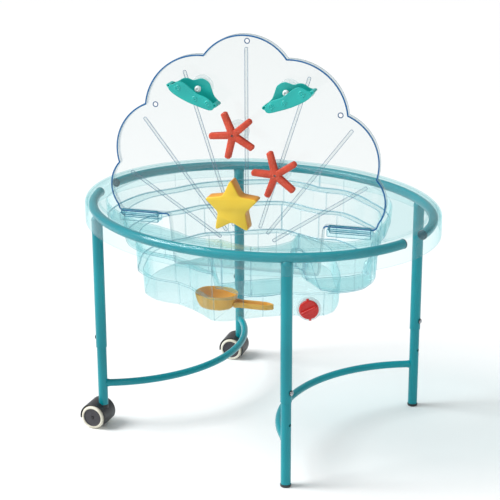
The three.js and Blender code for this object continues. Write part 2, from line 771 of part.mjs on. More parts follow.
// ---------------------------------------------------------------- starfish water wheels
// Five channel arms round a hub: each arm is an open trough.
function starfish(phase) {
  const arms = 5;
  let body = rod(15, -STARFISH_DEPTH, 0, 20);
  for (let i = 0; i < arms; i++) {
    const a = THREE.MathUtils.degToRad(phase + 72 * i);
    const arm = prism(
      [
        [0, -9.2],
        [40, -8.4],
        [STAR_R - 5, -7.8],
        [STAR_R, -4],
        [STAR_R, 4],
        [STAR_R - 5, 7.8],
        [40, 8.4],
        [0, 9.2],
      ],
      -STARFISH_DEPTH,
      0,
    );
    const trough = prism(
      [
        [17, -6.2],
        [STAR_R - 6, -5.2],
        [STAR_R - 3.5, 0],
        [STAR_R - 6, 5.2],
        [17, 6.2],
      ],
      -STARFISH_DEPTH - 1,
      -2.5,
    );
    const m = new THREE.Matrix4().makeRotationZ(a);
    body = body.add(arm.transform(m.elements)).subtract(trough.transform(m.elements));
  }
  return body.subtract(rod(PIN_R + GAP, -STARFISH_DEPTH - 1, -TOY_SKIN, 16));
}
const STARFISH = [
  { tag: "upper", u: -19, z: 814, phase: 41 },
  { tag: "lower", u: 90, z: 720, phase: 33 },
];
const TOY_SKIN = 2.6; // front wall of the toys that hang over the end of a pin
for (const s of STARFISH) {
  const face = PEG_FACE + STARFISH_PIN + PIN_TIP + GAP + TOY_SKIN;
  add(`starfish_${s.tag}`, onPanel(starfish(s.phase).translate([s.u, s.z, face])), plain("#e2553a", 0.45));
}

// ---------------------------------------------------------------- star cup
function starPoints(outer, innerR, turn) {
  const out = [];
  for (let i = 0; i < 10; i++) {
    const r = i % 2 ? innerR : outer;
    const a = THREE.MathUtils.degToRad(turn + 36 * i);
    if (i % 2) {
      out.push([r * Math.cos(a), r * Math.sin(a)]);
    } else {
      const da = 0.085;
      for (const k of [-1, 0, 1]) {
        const rr = k ? r - 5 : r;
        out.push([rr * Math.cos(a + k * da), rr * Math.sin(a + k * da)]);
      }
    }
  }
  return out;
}
const CUP_DEPTH = 40;
const cupOut = prism(starPoints(75, 37, 91), -CUP_DEPTH, 0);
const cupIn = prism(starPoints(70, 34.2, 91), -CUP_DEPTH - 1, -2.5);
const boss = turned([[PIN_R + GAP, -CUP_DEPTH + 12], [8, -CUP_DEPTH + 12], [8, -2], [PIN_R + GAP, -2]], 16);
const starCup = cupOut.subtract(cupIn).add(boss);
const STAR_CUP_REACH = 22; // how far the cup's face stands past the end of its pin
const starCupFace = PEG_FACE + STAR_CUP_PIN + PIN_TIP + GAP + TOY_SKIN + STAR_CUP_REACH;
add("star_cup", onPanel(starCup.translate([-27, 624, starCupFace])), plain("#f0c93f", 0.45));

// ---------------------------------------------------------------- cloud cups
// Open-topped pouring cups, drawn with x along the cup and y up, peg at the origin.
const CUP_STRETCH = 0.86; // on the x of the outlines below
const CUP_FRONT = 38;
const CUP_SHEET = 3;
const CLOUD_BACK = [
  [-79, -14], [-60, -24], [-20, -33], [20, -37], [54, -38], [64, -30], [62, -18], [48, -9], [36, 6],
  [27, 18], [14, 24], [0, 25], [-12, 20], [-24, 15], [-40, 16], [-54, 12], [-66, 2], [-78, -5],
];
const CLOUD_FRONT = [
  [-79, -14], [-60, -24], [-20, -33], [20, -37], [54, -38], [64, -30], [60, -20], [46, -12], [30, -8],
  [10, -6], [-10, 1], [-30, 9], [-46, 12], [-58, 8], [-68, 1], [-78, -6],
];
// Inside of the cup: it follows the bottom and the ends, and is open above.
const CLOUD_ROOM = [
  [-68, -14], [-57, -21], [-19, -30], [20, -34], [53, -35], [60.5, -28], [57, -19], [57, 60], [-68, 60],
];
function cloudCup(mirror) {
  const side = mirror ? -1 : 1;
  const drawn = (points) => {
    const out = points.map(([x, y]) => [x * CUP_STRETCH * side, y]);
    return mirror ? out.reverse() : out;
  };
  const back = prism(drawn(CLOUD_BACK), 0, CUP_SHEET);
  const shell = prism(drawn(CLOUD_FRONT), CUP_SHEET - 0.5, CUP_FRONT);
  const room = prism(drawn(CLOUD_ROOM), CUP_SHEET, CUP_FRONT - 2.5);
  const pegHole = rod(PIN_R + GAP, -1, CUP_SHEET + 1, 16);
  return back.add(shell).subtract(room).subtract(pegHole);
}
const CLOUDS = [
  { tag: "left", u: -112, z: 922, mirror: false, tilt: -13 },
  { tag: "right", u: 112, z: 924, mirror: true, tilt: 13 },
];
for (const c of CLOUDS) {
  const m = new THREE.Matrix4().makeRotationZ(THREE.MathUtils.degToRad(c.tilt));
  m.setPosition(c.u, c.z, PEG_FACE + CUP_PIN - CUP_SETBACK);
  add(`cloud_cup_${c.tag}`, onPanel(cloudCup(c.mirror).transform(m.elements)), plain("#14b0ac", 0.45));
  const foot = CUP_PIN + PIN_TIP + GAP;
  const cap = turned([[0, foot], [7.5, foot], [8.5, 41], [7, 46], [3.5, 48], [0, 48.5]], 18);
  add(`peg_cap_${c.tag}`, onPanel(cap.translate([c.u, c.z, PEG_FACE])), clear("#f2f7f7", 0.7));
}

// ---------------------------------------------------------------- scoop
// Lies on the tub's floor: an open bowl and a channelled handle that ends in a point.
const BOWL_SCALE = 1.1;
const BOWL_TOP = 40;
function scoopBody() {
  const rimLine = [
    [-52, -12], [-40, -32], [-14, -40], [16, -38], [36, -25], [44, -12], [44, 12], [36, 25], [16, 38],
    [-14, 40], [-40, 32], [-52, 12],
  ];
  const shrink = (k) => rimLine.map(([x, y]) => [x * k * BOWL_SCALE, y * k * BOWL_SCALE]);
  const levels = [
    { k: 0.62, z: 0 },
    { k: 0.82, z: 8 },
    { k: 0.94, z: 22 },
    { k: 1, z: BOWL_TOP },
  ];
  const bowl = loft(levels.map((l) => ({ points: shrink(l.k), z: l.z })));
  const hollow = loft([
    { points: shrink(0.56), z: 3 },
    { points: shrink(0.76), z: 10 },
    { points: shrink(0.885), z: 23 },
    { points: shrink(0.945), z: BOWL_TOP },
    { points: shrink(0.95), z: BOWL_TOP + 6 },
  ]);
  const handleLine = [
    [38, -15], [60, -13], [100, -14], [126, -12], [146, 0], [126, 12], [100, 14], [60, 13], [38, 15],
  ];
  const handle = prism(handleLine, 8, 22);
  const channel = prism(drawnIn(handleLine, 3), 12, 30).subtract(block(0, 51, -40, 40, 0, 40));
  return bowl.add(handle).subtract(hollow).subtract(channel);
}

// A solid through stacked outlines that all have the same number of points.
function loft(levels) {
  const n = levels[0].points.length;
  const positions = [];
  for (const l of levels) for (const [x, y] of l.points) positions.push(x, y, l.z);
  const index = [];
  for (let i = 0; i + 1 < levels.length; i++) {
    for (let j = 0; j < n; j++) {
      const k = (j + 1) % n;
      const a = i * n + j;
      const b = i * n + k;
      index.push(a, b, b + n, a, b + n, a + n);
    }
  }
  const top = (levels.length - 1) * n;
  for (let j = 1; j + 1 < n; j++) {
    index.push(0, j + 1, j);
    index.push(top, top + j, top + j + 1);
  }
  const g = new THREE.BufferGeometry();
  g.setAttribute("position", new THREE.Float32BufferAttribute(positions, 3));
  g.setIndex(index);
  return solid(g);
}
const SCOOP_X = 18;
const SCOOP_Y = -203;
const SCOOP_TURN = 20;
add("scoop", placed(scoopBody(), SCOOP_X, SCOOP_Y, FLOOR_Z + GAP, SCOOP_TURN), plain("#eda53a", 0.45));

export default part;
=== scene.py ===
import math
import bmesh
import bpy
from mathutils import Matrix, Vector


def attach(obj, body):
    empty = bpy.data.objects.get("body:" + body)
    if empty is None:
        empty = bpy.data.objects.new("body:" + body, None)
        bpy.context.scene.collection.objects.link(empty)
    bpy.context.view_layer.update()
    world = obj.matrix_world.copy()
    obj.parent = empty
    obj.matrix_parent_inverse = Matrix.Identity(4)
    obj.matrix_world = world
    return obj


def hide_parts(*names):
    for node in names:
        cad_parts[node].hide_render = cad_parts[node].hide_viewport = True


# The looks of a sand and water table: a clear terraced tub on a tubular stand, with a clear panel and its
# toys. Lengths are in millimetres and become metres where a mesh is made. The frame is the CAD frame.
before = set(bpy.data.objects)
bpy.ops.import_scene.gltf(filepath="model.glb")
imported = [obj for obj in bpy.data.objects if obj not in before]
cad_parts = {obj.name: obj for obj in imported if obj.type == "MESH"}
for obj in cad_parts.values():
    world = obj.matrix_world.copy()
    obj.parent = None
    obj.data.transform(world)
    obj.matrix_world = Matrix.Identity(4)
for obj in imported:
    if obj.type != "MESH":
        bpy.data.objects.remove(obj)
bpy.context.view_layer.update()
MM = 0.001
TUB_BODY = "stand_and_tub"

# ------------------------------------------------------------------ driving dimensions
LEG_X, LEG_Y = 298.4, 300.6
LEG_OUTER_R, LEG_OUTER_BORE_R = 14.3, 13.1
LEG_INNER_R, LEG_INNER_BORE_R = 12.7, 11.2
LEG_OUTER_BOTTOM, LEG_INNER_TOP = 225, 350
CASTER_LEG_BOTTOM, FOOT_LEG_BOTTOM = 62, 7
BOLT_Z, SPARE_HOLE_Z = 250, 165
RING_Z, RING_A, RING_B, RING_R = 588.6, 464, 390, 12
STRETCHER_Z, STRETCHER_R, STRETCHER_SAG = 122, 9.5, 150

WALL = 3.5
SKIRT_OUT, SKIRT_BOTTOM, CROWN_TOP, FLANGE_TOP = 21.5, 549, 608.5, 603
LEDGE_A_Z, LEDGE_B_Z, POCKET_Z, LEDGE_C_Z, FLOOR_Z = 560, 508, 478, 436, 376
DRAIN_ANGLE, DRAIN_Z = 333.5, 396

PANEL_ANGLE, PANEL_X, PANEL_Y = 20.9, 31.5, -107.8
PANEL_DEPTH, PANEL_SHEET, PANEL_RIM = 20, 3, 4
SHEET_W = -PANEL_DEPTH + PANEL_SHEET
SHOULDER_U, SHOULDER_Z, TONGUE_U, TONGUE_Z = 204, 583, 190, 452
PEG_FACE = SHEET_W + 3.2
CUP_PIN, STARFISH_PIN, STAR_CUP_PIN, PIN_TIP = 36, 58, 22, 1.5
PIN_HOLE_R, TOY_SKIN, GAP = 4.35, 2.6, 0.35
CUP_STRETCH, CUP_SETBACK, STAR_CUP_REACH, STAR_CUP_DEPTH = 0.86, 10.5, 22, 40
SCOOP_X, SCOOP_Y, SCOOP_TURN, BOWL_SCALE, BOWL_TOP = 18, -203, 20, 1.1, 40

WHEEL_R, WHEEL_WIDTH, WHEEL_IN, CASTER_TRAIL = 32, 21, 14.5, 18

# Distance of each of the tub's walls from the origin, by angle in degrees from +X.
OPENING = [
    (4, 357), (13, 345), (20, 338), (32, 337), (49, 336), (62, 333), (77, 345), (85, 350),
    (97, 336), (104, 355), (115, 374), (133, 374), (152, 378), (166, 372), (181, 395), (195, 402),
    (210, 404), (216, 396), (226, 374), (241, 350), (257, 323), (268, 323), (277, 338), (284, 337),
    (290, 331), (296, 352), (303, 373), (308, 371), (313, 361), (319, 336), (325.5, 282),
    (330, 352), (335, 386), (341, 399), (346, 398), (351, 388), (357, 368),
]
BASIN = [
    (5, 322), (18, 300), (32, 292), (47, 300), (62, 288), (80, 290), (89, 264), (102, 272),
    (115, 303), (132, 290), (145, 284), (157, 306), (170, 300), (183, 322), (200, 326), (214, 318),
    (228, 322), (240, 302), (252, 264), (264, 262), (274, 282), (283, 300), (290, 288), (297, 264),
    (308, 246), (324, 243), (333, 269), (342, 288), (350, 312), (358, 326),
]
FLOOR = [
    (0, 246), (15, 217), (30, 200), (45, 198), (60, 211), (75, 231), (90, 244), (104, 254),
    (117, 270), (128, 254), (145, 258), (157, 281), (170, 284), (183, 296), (200, 302), (214, 300),
    (228, 307), (240, 291), (252, 255), (264, 253), (274, 267), (283, 291), (290, 280), (297, 257),
    (308, 239), (324, 237), (333, 262), (341, 279), (348, 274),
]
POCKETS = [(286, 321), (329, 358)]
POCKET_FADE = 3.2
TUB_STEPS = 800
CORNER_STEPS = 4
FLOOR_CORNER = 13  # the corner of tub_profile where the wall meets the floor's upper face
FACET_SHARE = 0.6


# ------------------------------------------------------------------ material nodes
def linear(*rgb):
    """An sRGB colour, 0 to 255, as the linear numbers that shaders take."""
    return tuple((c / 255 / 12.92) if c <= 10 else ((c / 255 + 0.055) / 1.055) ** 2.4 for c in rgb)


class Nodes:
    """Adds nodes to one material."""

    def __init__(self, name):
        self.material = bpy.data.materials.new(name)
        self.material.use_nodes = True
        self.tree = self.material.node_tree
        self.tree.nodes.clear()
        self.out = self.tree.nodes.new("ShaderNodeOutputMaterial")

    def add(self, kind, inputs=None, **settings):
        node = self.tree.nodes.new("ShaderNode" + kind)
        for key, value in settings.items():
            setattr(node, key, value)
        for key, value in (inputs or {}).items():
            self.put(node.inputs[key], value)
        return node

    def put(self, socket, value):
        if isinstance(value, bpy.types.NodeSocket):
            self.tree.links.new(value, socket)
        elif isinstance(value, tuple) and len(value) == 3 and socket.type == "RGBA":
            socket.default_value = (*value, 1)
        else:
            socket.default_value = value

    def math(self, operation, a, b=0.0, clamp=False):
        return self.add("Math", {0: a, 1: b}, operation=operation, use_clamp=clamp).outputs[0]

    def mix(self, share, a, b):
        node = self.add("Mix", data_type="RGBA")
        self.put(node.inputs[0], share)
        self.put(node.inputs[6], a)
        self.put(node.inputs[7], b)
        return node.outputs[2]

    def noise(self, scale, detail=3.0, roughness=0.5):
        place = self.add("TexCoord").outputs["Object"]
        values = {"Vector": place, "Scale": scale, "Detail": detail, "Roughness": roughness}
        return self.add("TexNoise", values).outputs[0]

    def ramp(self, value, low, high):
        """The value stretched so that low becomes 0 and high becomes 1."""
        ranges = {0: value, 1: low, 2: high, 3: 0.0, 4: 1.0}
        return self.add("MapRange", ranges, clamp=True).outputs[0]

    def finish(self, shader):
        self.tree.links.new(shader, self.out.inputs["Surface"])
        return self.material


def solid_plastic(name, colour, deep, roughness, grain=420, bump=0.05, blotch=14, **sockets):
    """An opaque moulded or painted surface: slow blotches of a deeper tone, and a fine grain."""
    n = Nodes(name)
    slow = n.ramp(n.noise(blotch, 2), 0.35, 0.7)
    fine = n.noise(grain, 4, 0.6)
    base = n.mix(slow, colour, deep)
    base = n.mix(n.math("MULTIPLY", n.ramp(fine, 0.5, 0.8), 0.22), base, deep)
    rough = n.math("ADD", n.math("MULTIPLY", fine, 0.12), roughness - 0.06)
    relief = n.add("Bump", {"Height": fine, "Strength": bump, "Distance": 0.0006}).outputs[0]
    values = {"Base Color": base, "Roughness": rough, "Normal": relief, **sockets}
    return n.finish(n.add("BsdfPrincipled", values).outputs[0])


MILK = linear(236, 247, 248)
LEAST_FACING = 0.07  # keeps a wall that is seen edge on from turning black


def clear_plastic(name, tint, edge, edge_body, haze, grip=0.7):
    """Clear sheet plastic: what shows through it is tinted more the more slantwise it is looked through,
    and the moulded edges, which the mesh marks by its crease value, gather the colour of the plastic."""
    n = Nodes(name)
    facing = n.add("LayerWeight", {"Blend": 0.5}).outputs["Facing"]
    across = n.math("MAXIMUM", n.math("SUBTRACT", 1.0, facing), LEAST_FACING)
    depth = n.math("DIVIDE", 1.0, across)
    channels = [n.math("POWER", c, depth) for c in tint]
    through = n.add("CombineColor", dict(enumerate(channels))).outputs[0]
    crease = n.add("Attribute", attribute_name="crease").outputs["Fac"]
    wear = n.ramp(n.noise(22, 3), 0.3, 0.75)
    line = n.math("POWER", n.math("MINIMUM", crease, 1.0), 1.5)
    lit = n.math("MULTIPLY", line, n.math("ADD", n.math("MULTIPLY", wear, 0.3), 0.7), clamp=True)
    through = n.mix(lit, through, edge)
    see = n.add("BsdfTransparent", {"Color": through}).outputs[0]
    cloud = n.math("MULTIPLY", n.ramp(n.noise(7, 2), 0.25, 0.8), haze)
    body = n.add(
        "BsdfPrincipled",
        {"Base Color": n.mix(line, MILK, edge_body), "Roughness": 0.3, "Specular IOR Level": 0.15},
    ).outputs[0]
    share = n.math("ADD", n.math("MULTIPLY", lit, grip), n.math("ADD", cloud, haze), clamp=True)
    filled = n.add("MixShader", {0: share, 1: see, 2: body}).outputs[0]
    gloss = n.add("BsdfGlossy", {"Color": (1, 1, 1), "Roughness": 0.045}).outputs[0]
    mirror = n.math("MULTIPLY", n.math("POWER", facing, 5.0), 0.5)
    mirror = n.math("ADD", mirror, 0.012)
    mirror = n.math("MULTIPLY", mirror, n.math("SUBTRACT", 1.0, n.math("MULTIPLY", lit, 0.85)), clamp=True)
    return n.finish(n.add("MixShader", {0: mirror, 1: filled, 2: gloss}).outputs[0])


def bright_metal(name):
    n = Nodes(name)
    fine = n.noise(700, 4, 0.6)
    base = n.mix(fine, linear(205, 208, 212), linear(150, 154, 160))
    rough = n.math("ADD", n.math("MULTIPLY", fine, 0.15), 0.16)
    values = {"Base Color": base, "Roughness": rough, "Metallic": 1.0}
    return n.finish(n.add("BsdfPrincipled", values).outputs[0])


def pebbled_plastic(name, colour, deep):
    """Toy plastic with the raised pebbles of a starfish's skin."""
    n = Nodes(name)
    place = n.add("TexCoord").outputs["Object"]
    cells = n.add("TexVoronoi", {"Vector": place, "Scale": 230.0}).outputs["Distance"]
    dots = n.ramp(cells, 0.42, 0.12)
    slow = n.ramp(n.noise(45, 3), 0.35, 0.7)
    base = n.mix(n.math("MULTIPLY", slow, 0.7), colour, deep)
    base = n.mix(n.math("MULTIPLY", dots, 0.4), base, linear(246, 128, 82))
    relief = n.add("Bump", {"Height": dots, "Strength": 0.75, "Distance": 0.002}).outputs[0]
    rough = n.math("ADD", n.math("MULTIPLY", slow, 0.12), 0.36)
    values = {"Base Color": base, "Roughness": rough, "Normal": relief}
    return n.finish(n.add("BsdfPrincipled", values).outputs[0])


PAINT = solid_plastic(
    "teal_paint", linear(0, 146, 157), linear(0, 132, 144), 0.3, 900, 0.03, 6,
    **{"Coat Weight": 0.3, "Coat Roughness": 0.08, "Specular IOR Level": 0.2},
)
TUB_CLEAR = clear_plastic(
    "tub_plastic", (0.95, 0.986, 0.988), linear(30, 165, 188), linear(0, 138, 165), 0.004,
)
PANEL_CLEAR = clear_plastic(
    "panel_plastic", (0.936, 0.952, 0.951), linear(0, 118, 172), linear(0, 98, 160), 0.005, 0.9,
)
FITTING_CLEAR = clear_plastic(
    "fitting_plastic", (0.95, 0.97, 0.972), linear(140, 190, 200), linear(150, 180, 186), 0.05,
)
BRACKET_CLEAR = clear_plastic(
    "bracket_plastic", (0.93, 0.982, 0.988), linear(20, 160, 182), linear(0, 132, 160), 0.01,
)
FLANGE_CLEAR = clear_plastic(
    "flange_plastic", (0.96, 0.98, 0.982), linear(170, 196, 200), linear(176, 200, 204), 0.3, 0.6,
)
BLACK = solid_plastic("black_plastic", linear(46, 47, 50), linear(36, 37, 40), 0.42, 800, 0.08)
HUB_BLACK = solid_plastic("hub_plastic", linear(66, 65, 70), linear(54, 53, 58), 0.45, 800, 0.08)
CAP_DARK = solid_plastic("cap_plastic", linear(16, 78, 90), linear(10, 62, 74), 0.4, 800, 0.05)
TREAD = solid_plastic("tread_rubber", linear(232, 229, 214), linear(214, 209, 190), 0.55, 300, 0.12, 40)
BOLT_METAL = bright_metal("bolt_metal")
DRAIN_RED = solid_plastic("drain_plastic", linear(216, 40, 32), linear(190, 24, 22), 0.28, 500, 0.06)
CUP_TEAL = solid_plastic("cup_plastic", linear(24, 184, 176), linear(14, 164, 158), 0.38, 420, 0.12)
STARFISH_ORANGE = pebbled_plastic("starfish_plastic", linear(216, 74, 44), linear(178, 52, 30))
STAR_YELLOW = solid_plastic("star_plastic", linear(243, 206, 66), linear(236, 194, 50), 0.4, 420, 0.12)
# painted shade: the star cup's walls, inside and back are the same yellow plastic as its face, coloured
# deeper and more orange as if in shade
STAR_SHADED_WALL = solid_plastic("star_wall_painted_shade_plastic", linear(240, 168, 34), linear(226, 146, 22), 0.42, 420, 0.1)
SCOOP_ORANGE = solid_plastic("scoop_plastic", linear(238, 172, 66), linear(224, 152, 48), 0.4, 380, 0.12)
PEG_WHITE = solid_plastic("peg_plastic", linear(240, 244, 244), linear(222, 232, 233), 0.25, 500, 0.04)


# ------------------------------------------------------------------ mesh building
def added(name, data):
    """A new object in the scene."""
    thing = bpy.data.objects.new(name, data)
    bpy.context.scene.collection.objects.link(thing)
    return thing


def rounded(points, radius, steps=4, closed=True):
    """The polygon or polyline with each corner drawn round, as [(point, 0 to 1 towards the corner)].
    radius is one number, or one for each point."""
    radii = radius if isinstance(radius, (list, tuple)) else [radius] * len(points)
    out = []
    count = len(points)
    for i, p in enumerate(points):
        p = Vector(p)
        if not closed and i in (0, count - 1):
            out.append((p, 0.0))
            continue
        before = Vector(points[i - 1]) - p
        after = Vector(points[(i + 1) % count]) - p
        cut = min(radii[i], before.length * 0.48, after.length * 0.48)
        if cut < 1e-6:
            out.append((p, 1.0))
            continue
        start = p + before.normalized() * cut
        end = p + after.normalized() * cut
        for k in range(steps + 1):
            t = k / steps
            q = start * (1 - t) ** 2 + p * 2 * t * (1 - t) + end * t ** 2
            out.append((q, 1 - abs(2 * t - 1)))
    return out


def round_cornered(points, radius, steps=4, closed=True):
    """The polygon or polyline with each corner drawn round, as points."""
    return [p for p, _ in rounded(points, radius, steps, closed)]


def smooth_loop(points, steps=5):
    """A closed Catmull-Rom curve through 2-D points."""
    out = []
    count = len(points)
    for i in range(count):
        a, b, c, d = (Vector(points[(i + k) % count]) for k in (-1, 0, 1, 2))
        for k in range(steps):
            t = k / steps
            out.append(
                (b * 2 + (c - a) * t + (a * 2 - b * 5 + c * 4 - d) * t ** 2
                 + (b * 3 - a - c * 3 + d) * t ** 3) * 0.5
            )
    return out


def drawn_in(points, by):
    """A closed outline moved inwards, for an outline that runs counter-clockwise."""
    out = []
    count = len(points)
    for i, p in enumerate(points):
        before = (Vector(p) - Vector(points[i - 1])).normalized()
        after = (Vector(points[(i + 1) % count]) - Vector(p)).normalized()
        n1 = Vector((-before.y, before.x))
        n2 = Vector((-after.y, after.x))
        out.append(Vector(p) + (n1 + n2) * (by / max(0.5, 1 + n1.dot(n2))))
    return out


def counter_clockwise(points):
    area = sum(
        p[0] * q[1] - q[0] * p[1] for p, q in zip(points, list(points[1:]) + [points[0]])
    )
    return list(points) if area > 0 else list(points)[::-1]


class Form:
    """Vertices, faces, crease values and material numbers of one piece, in millimetres."""

    def __init__(self):
        self.verts, self.faces, self.creases, self.slots = [], [], [], []

    def put(self, verts, faces, creases=None, matrix=None, slot=0):
        start = len(self.verts)
        matrix = matrix or Matrix.Identity(4)
        self.verts += [matrix @ Vector(v) for v in verts]
        self.creases += list(creases) if creases is not None else [0.0] * len(verts)
        self.faces += [tuple(start + i for i in f) for f in faces]
        self.slots += [slot] * len(faces)
        return self

    def rings(self, rings, creases=None, matrix=None, slot=0, closed=False, caps=True):
        """Skins between loops that all have the same number of points."""
        size = len(rings[0])
        verts = [v for ring in rings for v in ring]
        faces = []
        for i in range(len(rings) - (0 if closed else 1)):
            j = (i + 1) % len(rings)
            for a in range(size):
                b = (a + 1) % size
                faces.append((i * size + a, i * size + b, j * size + b, j * size + a))
        if caps and not closed:
            faces.append(tuple(range(size))[::-1])
            faces.append(tuple((len(rings) - 1) * size + a for a in range(size)))
        return self.put(verts, faces, creases, matrix, slot)

    def lathe(self, profile, matrix=None, steps=48, round_by=0.0, closed=False, crease=0.0, slot=0):
        """A solid of revolution about +Z. An open profile starts and ends on the axis."""
        line = rounded([(r, z) for r, z in profile], round_by, 3, closed)
        turn = [2 * math.pi * k / steps for k in range(steps)]
        rings = [[(p.x * math.cos(a), p.x * math.sin(a), p.y) for a in turn] for p, _ in line]
        creases = [w * crease for _, w in line for _ in turn]
        return self.rings(rings, creases, matrix, slot, closed, caps=False)

    def plate(self, outline, z0, z1, edge=1.0, matrix=None, crease=0.0, slot=0, steps=3):
        """A flat plate over a counter-clockwise outline, with round edges."""
        outline = counter_clockwise(outline)
        edge = min(edge, (z1 - z0) * 0.27)

        def bend(z, way):
            """From the flat face round to the side, as (inset, z, crease)."""
            out = [(edge * 2.6, z, 0.0)] if crease else []
            for k in range(steps + 1):
                a = math.pi / 2 * k / steps
                out.append((edge * (1 - math.sin(a)), z + way * edge * (1 - math.cos(a)), crease))
            return out + [(0.0, z + way * edge * 1.7, 0.0)]

        rings, creases = [], []
        for inset, z, w in bend(z0, 1) + bend(z1, -1)[::-1]:
            rings.append([(p.x, p.y, z) for p in drawn_in(outline, inset)])
            creases += [w] * len(outline)
        return self.rings(rings, creases, matrix, slot)

    def bar(self, path, radii, sides=28, matrix=None, slot=0):
        """A round bar along a level path, with one radius or one for each point."""
        radii = radii if isinstance(radii, list) else [radii] * len(path)
        rings = []
        for i, p in enumerate(path):
            before = Vector(path[max(i - 1, 0)])
            after = Vector(path[min(i + 1, len(path) - 1)])
            ahead = (after - before).normalized()
            side = ahead.cross(Vector((0, 0, 1))).normalized()
            up = side.cross(ahead)
            ring = []
            for k in range(sides):
                a = 2 * math.pi * k / sides
                ring.append(Vector(p) + (side * math.cos(a) + up * math.sin(a)) * radii[i])
            rings.append(ring)
        return self.rings(rings, None, matrix, slot)

    def piece(self, name, materials, body, nodes=(), slot=None, sharp=38):
        """Makes the Blender object and puts it on its CAD body."""
        bm = bmesh.new()
        layer = bm.verts.layers.float.new("crease")
        made = []
        for v, w in zip(self.verts, self.creases):
            vert = bm.verts.new(v * MM)
            vert[layer] = w
            made.append(vert)
        for f, s in zip(self.faces, self.slots):
            if len(set(f)) > 2:
                face = bm.faces.new([made[i] for i in f])
                face.material_index = s
        bmesh.ops.remove_doubles(bm, verts=bm.verts, dist=2e-6)
        bmesh.ops.dissolve_degenerate(bm, edges=bm.edges, dist=1e-6)
        bmesh.ops.recalc_face_normals(bm, faces=bm.faces)
        mesh = bpy.data.meshes.new(name)
        bm.to_mesh(mesh)
        bm.free()
        thing = added(name, mesh)
        for m in materials if isinstance(materials, list) else [materials]:
            mesh.materials.append(m)
        shade(mesh, sharp)
        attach(thing, body)
        if nodes:
            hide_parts(*nodes)
        return thing

    def moulded(self, node, materials, body, slot, sharp=38):
        """Makes the piece that stands for one moulded CAD node."""
        return self.piece(node + "_moulded", materials, body, [node], slot, sharp)


def shade(mesh, sharp):
    """Smooth shading, broken at edges that turn by more than sharp degrees."""
    bm = bmesh.new()
    bm.from_mesh(mesh)
    limit = math.radians(sharp)
    for e in bm.edges:
        e.smooth = len(e.link_faces) != 2 or e.calc_face_angle(0) < limit
    for f in bm.faces:
        f.smooth = True
    bm.to_mesh(mesh)
    bm.free()


def applied(thing):
    """Fixes the object's modifiers into its mesh."""
    bpy.context.view_layer.update()
    graph = bpy.context.evaluated_depsgraph_get()
    mesh = bpy.data.meshes.new_from_object(thing.evaluated_get(graph))
    thing.modifiers.clear()
    thing.data = mesh
    return thing


def fused(thing, voxel, rounds):
    """Joins overlapping forms of one piece into one skin with soft inner corners."""
    remesh = thing.modifiers.new("fuse", "REMESH")
    remesh.mode = "VOXEL"
    remesh.voxel_size = voxel * MM
    remesh.use_smooth_shade = True
    smooth = thing.modifiers.new("soften", "SMOOTH")
    smooth.factor = 0.5
    smooth.iterations = rounds
    materials = list(thing.data.materials)
    applied(thing)
    thing.data.materials.clear()
    for m in materials:
        thing.data.materials.append(m)
    for f in thing.data.polygons:
        f.use_smooth = True
    return thing


def drilled(thing, holes, sharp=38):
    """Cuts round holes, each (matrix with +Z along the hole, radius, low, high)."""
    for matrix, radius, low, high in holes:
        bm = bmesh.new()
        place = matrix @ Matrix.Translation((0, 0, (low + high) / 2))
        place = Matrix.Scale(MM, 4) @ place
        bmesh.ops.create_cone(
            bm, cap_ends=True, segments=32, radius1=radius, radius2=radius, depth=high - low, matrix=place,
        )
        mesh = bpy.data.meshes.new("hole")
        bm.to_mesh(mesh)
        bm.free()
        cutter = added("hole", mesh)
        cut = thing.modifiers.new("hole", "BOOLEAN")
        cut.operation = "DIFFERENCE"
        cut.solver = "EXACT"
        cut.object = cutter
        applied(thing)
        bpy.data.objects.remove(cutter)
    shade(thing.data, sharp)
    return thing


def aimed(direction, at):
    """The matrix that turns +Z along a direction and moves the origin to a point."""
    turn = Vector((0, 0, 1)).rotation_difference(Vector(direction).normalized())
    return Matrix.Translation(Vector(at)) @ turn.to_matrix().to_4x4()


def turned(degrees, x=0.0, y=0.0, z=0.0):
    return Matrix.Translation((x, y, z)) @ Matrix.Rotation(math.radians(degrees), 4, "Z")


# ------------------------------------------------------------------ ring, legs and stretchers
def ellipse_arc(start, end, steps):
    angles = [math.radians(start + (end - start) * k / steps) for k in range(steps + 1)]
    return [(RING_A * math.cos(a), RING_B * math.sin(a), RING_Z) for a in angles]


def ring_tubes():
    for name, start, end in (("ring_tube_front", 201.2, 352.7), ("ring_tube_back", 6.2, 186.3)):
        path = ellipse_arc(start, end, 150)
        Form().bar(path, RING_R, 36).piece(name + "_painted", PAINT, TUB_BODY, [name], "paint")
        for tag, at, beside in (("start", path[0], path[1]), ("end", path[-1], path[-2])):
            away = Vector(at) - Vector(beside)
            cap = [(0, 0.3), (12.6, 0.3), (12.6, 2.6), (10, 4.2), (5, 4.8), (0, 4.8)]
            node = f"{name}_cap_{tag}"
            form = Form().lathe(cap, aimed(away, at), 36, 1.0)
            form.moulded(node, CAP_DARK, TUB_BODY, "cap_dark")


# name, side along X, side along Y, body, and the heading of its caster in degrees, if it has one
LEGS = [
    ("front_left", -1, -1, "left_frame", -74), ("back_left", -1, 1, "left_frame", -70),
    ("front_right", 1, -1, "right_frame", None), ("back_right", 1, 1, "right_frame", None),
]


